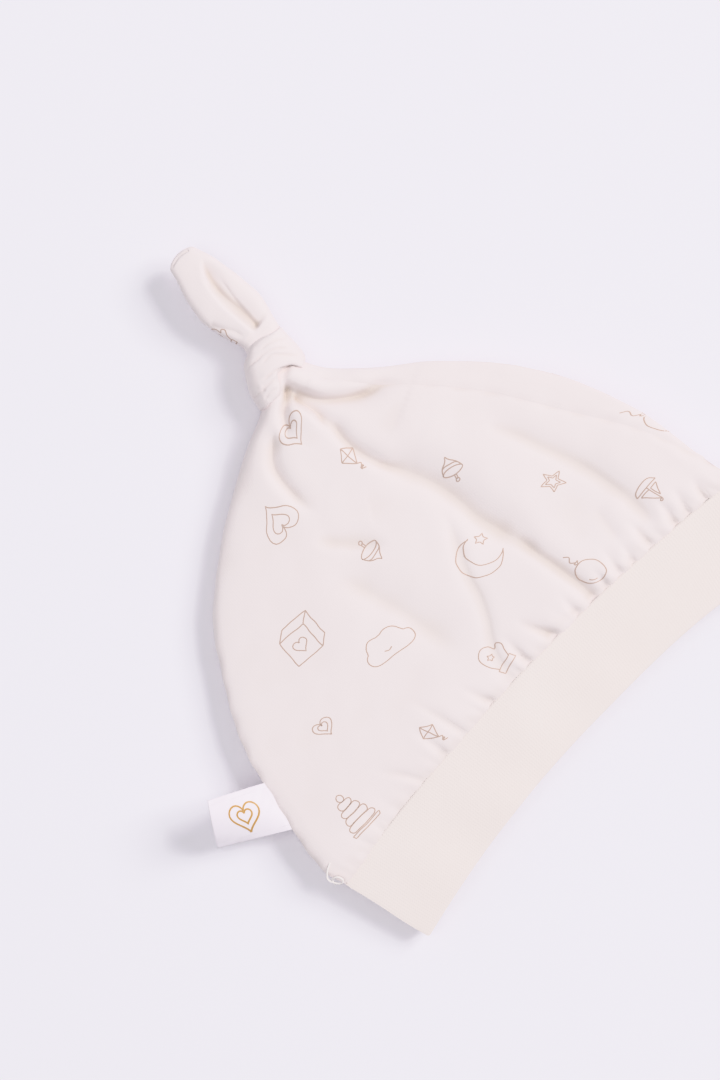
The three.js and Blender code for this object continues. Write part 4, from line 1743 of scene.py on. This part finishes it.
@dataclass(frozen=True)
class ThreadEnd:
    """The overlock seam's thread, which ends in a loose loop where the left seam meets the band.

    Attributes:
        radius: the thread's, in mm.
        rows: vertices along it.
        columns: vertices round it.
        line: places along it.
    """

    radius: float = 0.28
    rows: int = 90
    columns: int = 12
    line: tuple[tuple[float, float, float], ...] = (
        (-77.9, 7.4, 11.6), (-80.2, 6.2, 11.6), (-81.7, 4.6, 11.2), (-81.2, 2.6, 11.0), (-79.8, 1.0, 11.6),
        (-78.8, 1.6, 12.5), (-79.4, 3.2, 12.4), (-80.9, 3.6, 11.4), (-81.3, 2.0, 10.6),
    )

    def build(self) -> None:
        """Sweeps a round thread along the line and makes the piece."""
        way = curve_through(self.line, self.rows)
        along = np.gradient(way, axis=0)
        side = np.cross(along, (0.3, 0.2, 1.0))
        side /= np.linalg.norm(side, axis=1, keepdims=True)
        lift = np.cross(side, along)
        lift /= np.linalg.norm(lift, axis=1, keepdims=True)
        angle = np.linspace(0.0, 2 * math.pi, self.columns + 1)[:-1, None]
        ring = np.cos(angle) * side[:, None] + np.sin(angle) * lift[:, None]
        places = (way[:, None] + self.radius * ring).reshape(-1, 3)
        faces = capped_faces(self.rows, self.columns)
        new_piece("seam_thread", places, faces, None, THREAD.material(), "jersey")


# ---- the scene ----


@dataclass(frozen=True)
class SoftBox:
    """A square soft light that shines at the hat.

    Attributes:
        name: the light's name.
        turn: its direction round the vertical from +X, in degrees.
        rise: its height above the floor, in degrees.
        distance: its distance in m.
        size: its width in m.
        power: its power in W.
    """

    name: str
    turn: float
    rise: float
    distance: float
    size: float
    power: float

    def build(self) -> None:
        """Makes the light."""
        data = bpy.data.lights.new(self.name, "AREA")
        data.shape = "SQUARE"
        data.size = self.size
        data.energy = self.power
        light = bpy.data.objects.new(self.name, data)
        a, b = math.radians(self.turn), math.radians(self.rise)
        towards = np.array([math.cos(a) * math.cos(b), math.sin(a) * math.cos(b), math.sin(b)])
        light.location = self.distance * towards
        light.rotation_euler = (0.0, math.pi / 2 - b, a)
        bpy.context.scene.collection.objects.link(light)


@dataclass(frozen=True)
class Studio:
    """A pale floor, one soft light from the side, an even fill from above, and the camera overhead.

    Attributes:
        middle: what the camera looks at, in hat coordinates.
        turn: the camera's turn about the vertical, in degrees.
        distance: from the camera to the hat, in m.
        view: height of the picture at that distance, in m.
        lights: the window-like key light and the broad fill nearly overhead.
        room: strength of the even light from all sides.
        room_colour: its colour, linear.
        floor: half-width of the floor in m.
    """

    middle: tuple[float, float, float] = (-6.5, 64.3, 8.0)
    turn: float = -46.13
    distance: float = 1.2
    view: float = 0.3051
    lights: tuple[SoftBox, ...] = (
        SoftBox("key", turn=-18.0, rise=45.0, distance=2.54, size=1.2, power=44.0),
        SoftBox("fill_light", turn=150.0, rise=78.0, distance=3.0, size=2.0, power=26.5),
    )
    room: float = 0.465
    room_colour: tuple[float, float, float, float] = (0.97, 0.945, 1.0, 1.0)
    floor: float = 3.0

    def build(self) -> None:
        """Makes the floor, the lights and the camera."""
        mesh = bpy.data.meshes.new("floor")
        corners = [(x * self.floor, y * self.floor, 0) for x, y in ((-1, -1), (1, -1), (1, 1), (-1, 1))]
        mesh.from_pydata(corners, [], [(0, 1, 2, 3)])
        mesh.materials.append(PAPER.material())
        floor = bpy.data.objects.new("floor", mesh)
        bpy.context.scene.collection.objects.link(floor)
        for light in self.lights:
            light.build()
        world = bpy.data.worlds.new("room")
        world.use_nodes = True
        background = world.node_tree.nodes["Background"]
        background.inputs["Color"].default_value = self.room_colour
        background.inputs["Strength"].default_value = self.room
        bpy.context.scene.world = world
        self.look()

    def look(self) -> None:
        """Hangs the camera over the hat and sets how the picture takes the light."""
        data = bpy.data.cameras.new("camera")
        data.sensor_fit = "VERTICAL"
        data.sensor_height = 36.0
        data.lens = data.sensor_height * self.distance / self.view
        camera = bpy.data.objects.new("camera", data)
        camera.location = (np.array(self.middle) + ORIGIN) * MM + (0.0, 0.0, self.distance)
        camera.rotation_euler = (0.0, 0.0, math.radians(self.turn))
        bpy.context.scene.collection.objects.link(camera)
        bpy.context.scene.camera = camera
        bpy.context.scene.view_settings.view_transform = "Khronos PBR Neutral"


def main() -> None:
    """Builds the hat and its scene."""
    logging.basicConfig(level=logging.INFO, format="%(message)s")
    Studio().build()
    front = CrownPanel(Panel.FRONT).build()
    back = CrownPanel(Panel.BACK).build()
    Cuff().build()
    knot = Knot().build()
    tail = Tail().build()
    SideLabel().build()
    ThreadEnd().build()
    ink = Print()
    ink.lay("print_front", front, half_drop(31.0, 24.0, 11.0, 100.0, 84.0, seed=31), 41, 0.6, 110.0, 0.9)
    ink.lay("print_back", back, half_drop(31.0, 24.0, 4.0, 112.0, 84.0, seed=32), 42, 0.6, 110.0, 0.9)
    small = Print(scale=0.75)
    small.lay("print_neck", front, [(4.0, 99.0)], 46, 88.0, 111.0, 0.9)
    small.lay("print_knot", knot, [(21.0, 118.5)], 43, 108.0, 123.0, 0.5)
    small.lay("print_tail", tail, [(9.0, 147.0), (17.0, 131.5), (36.0, 127.0)], 44, 125.0, 156.0, 0.5)


if __name__ == "__main__":
    main()
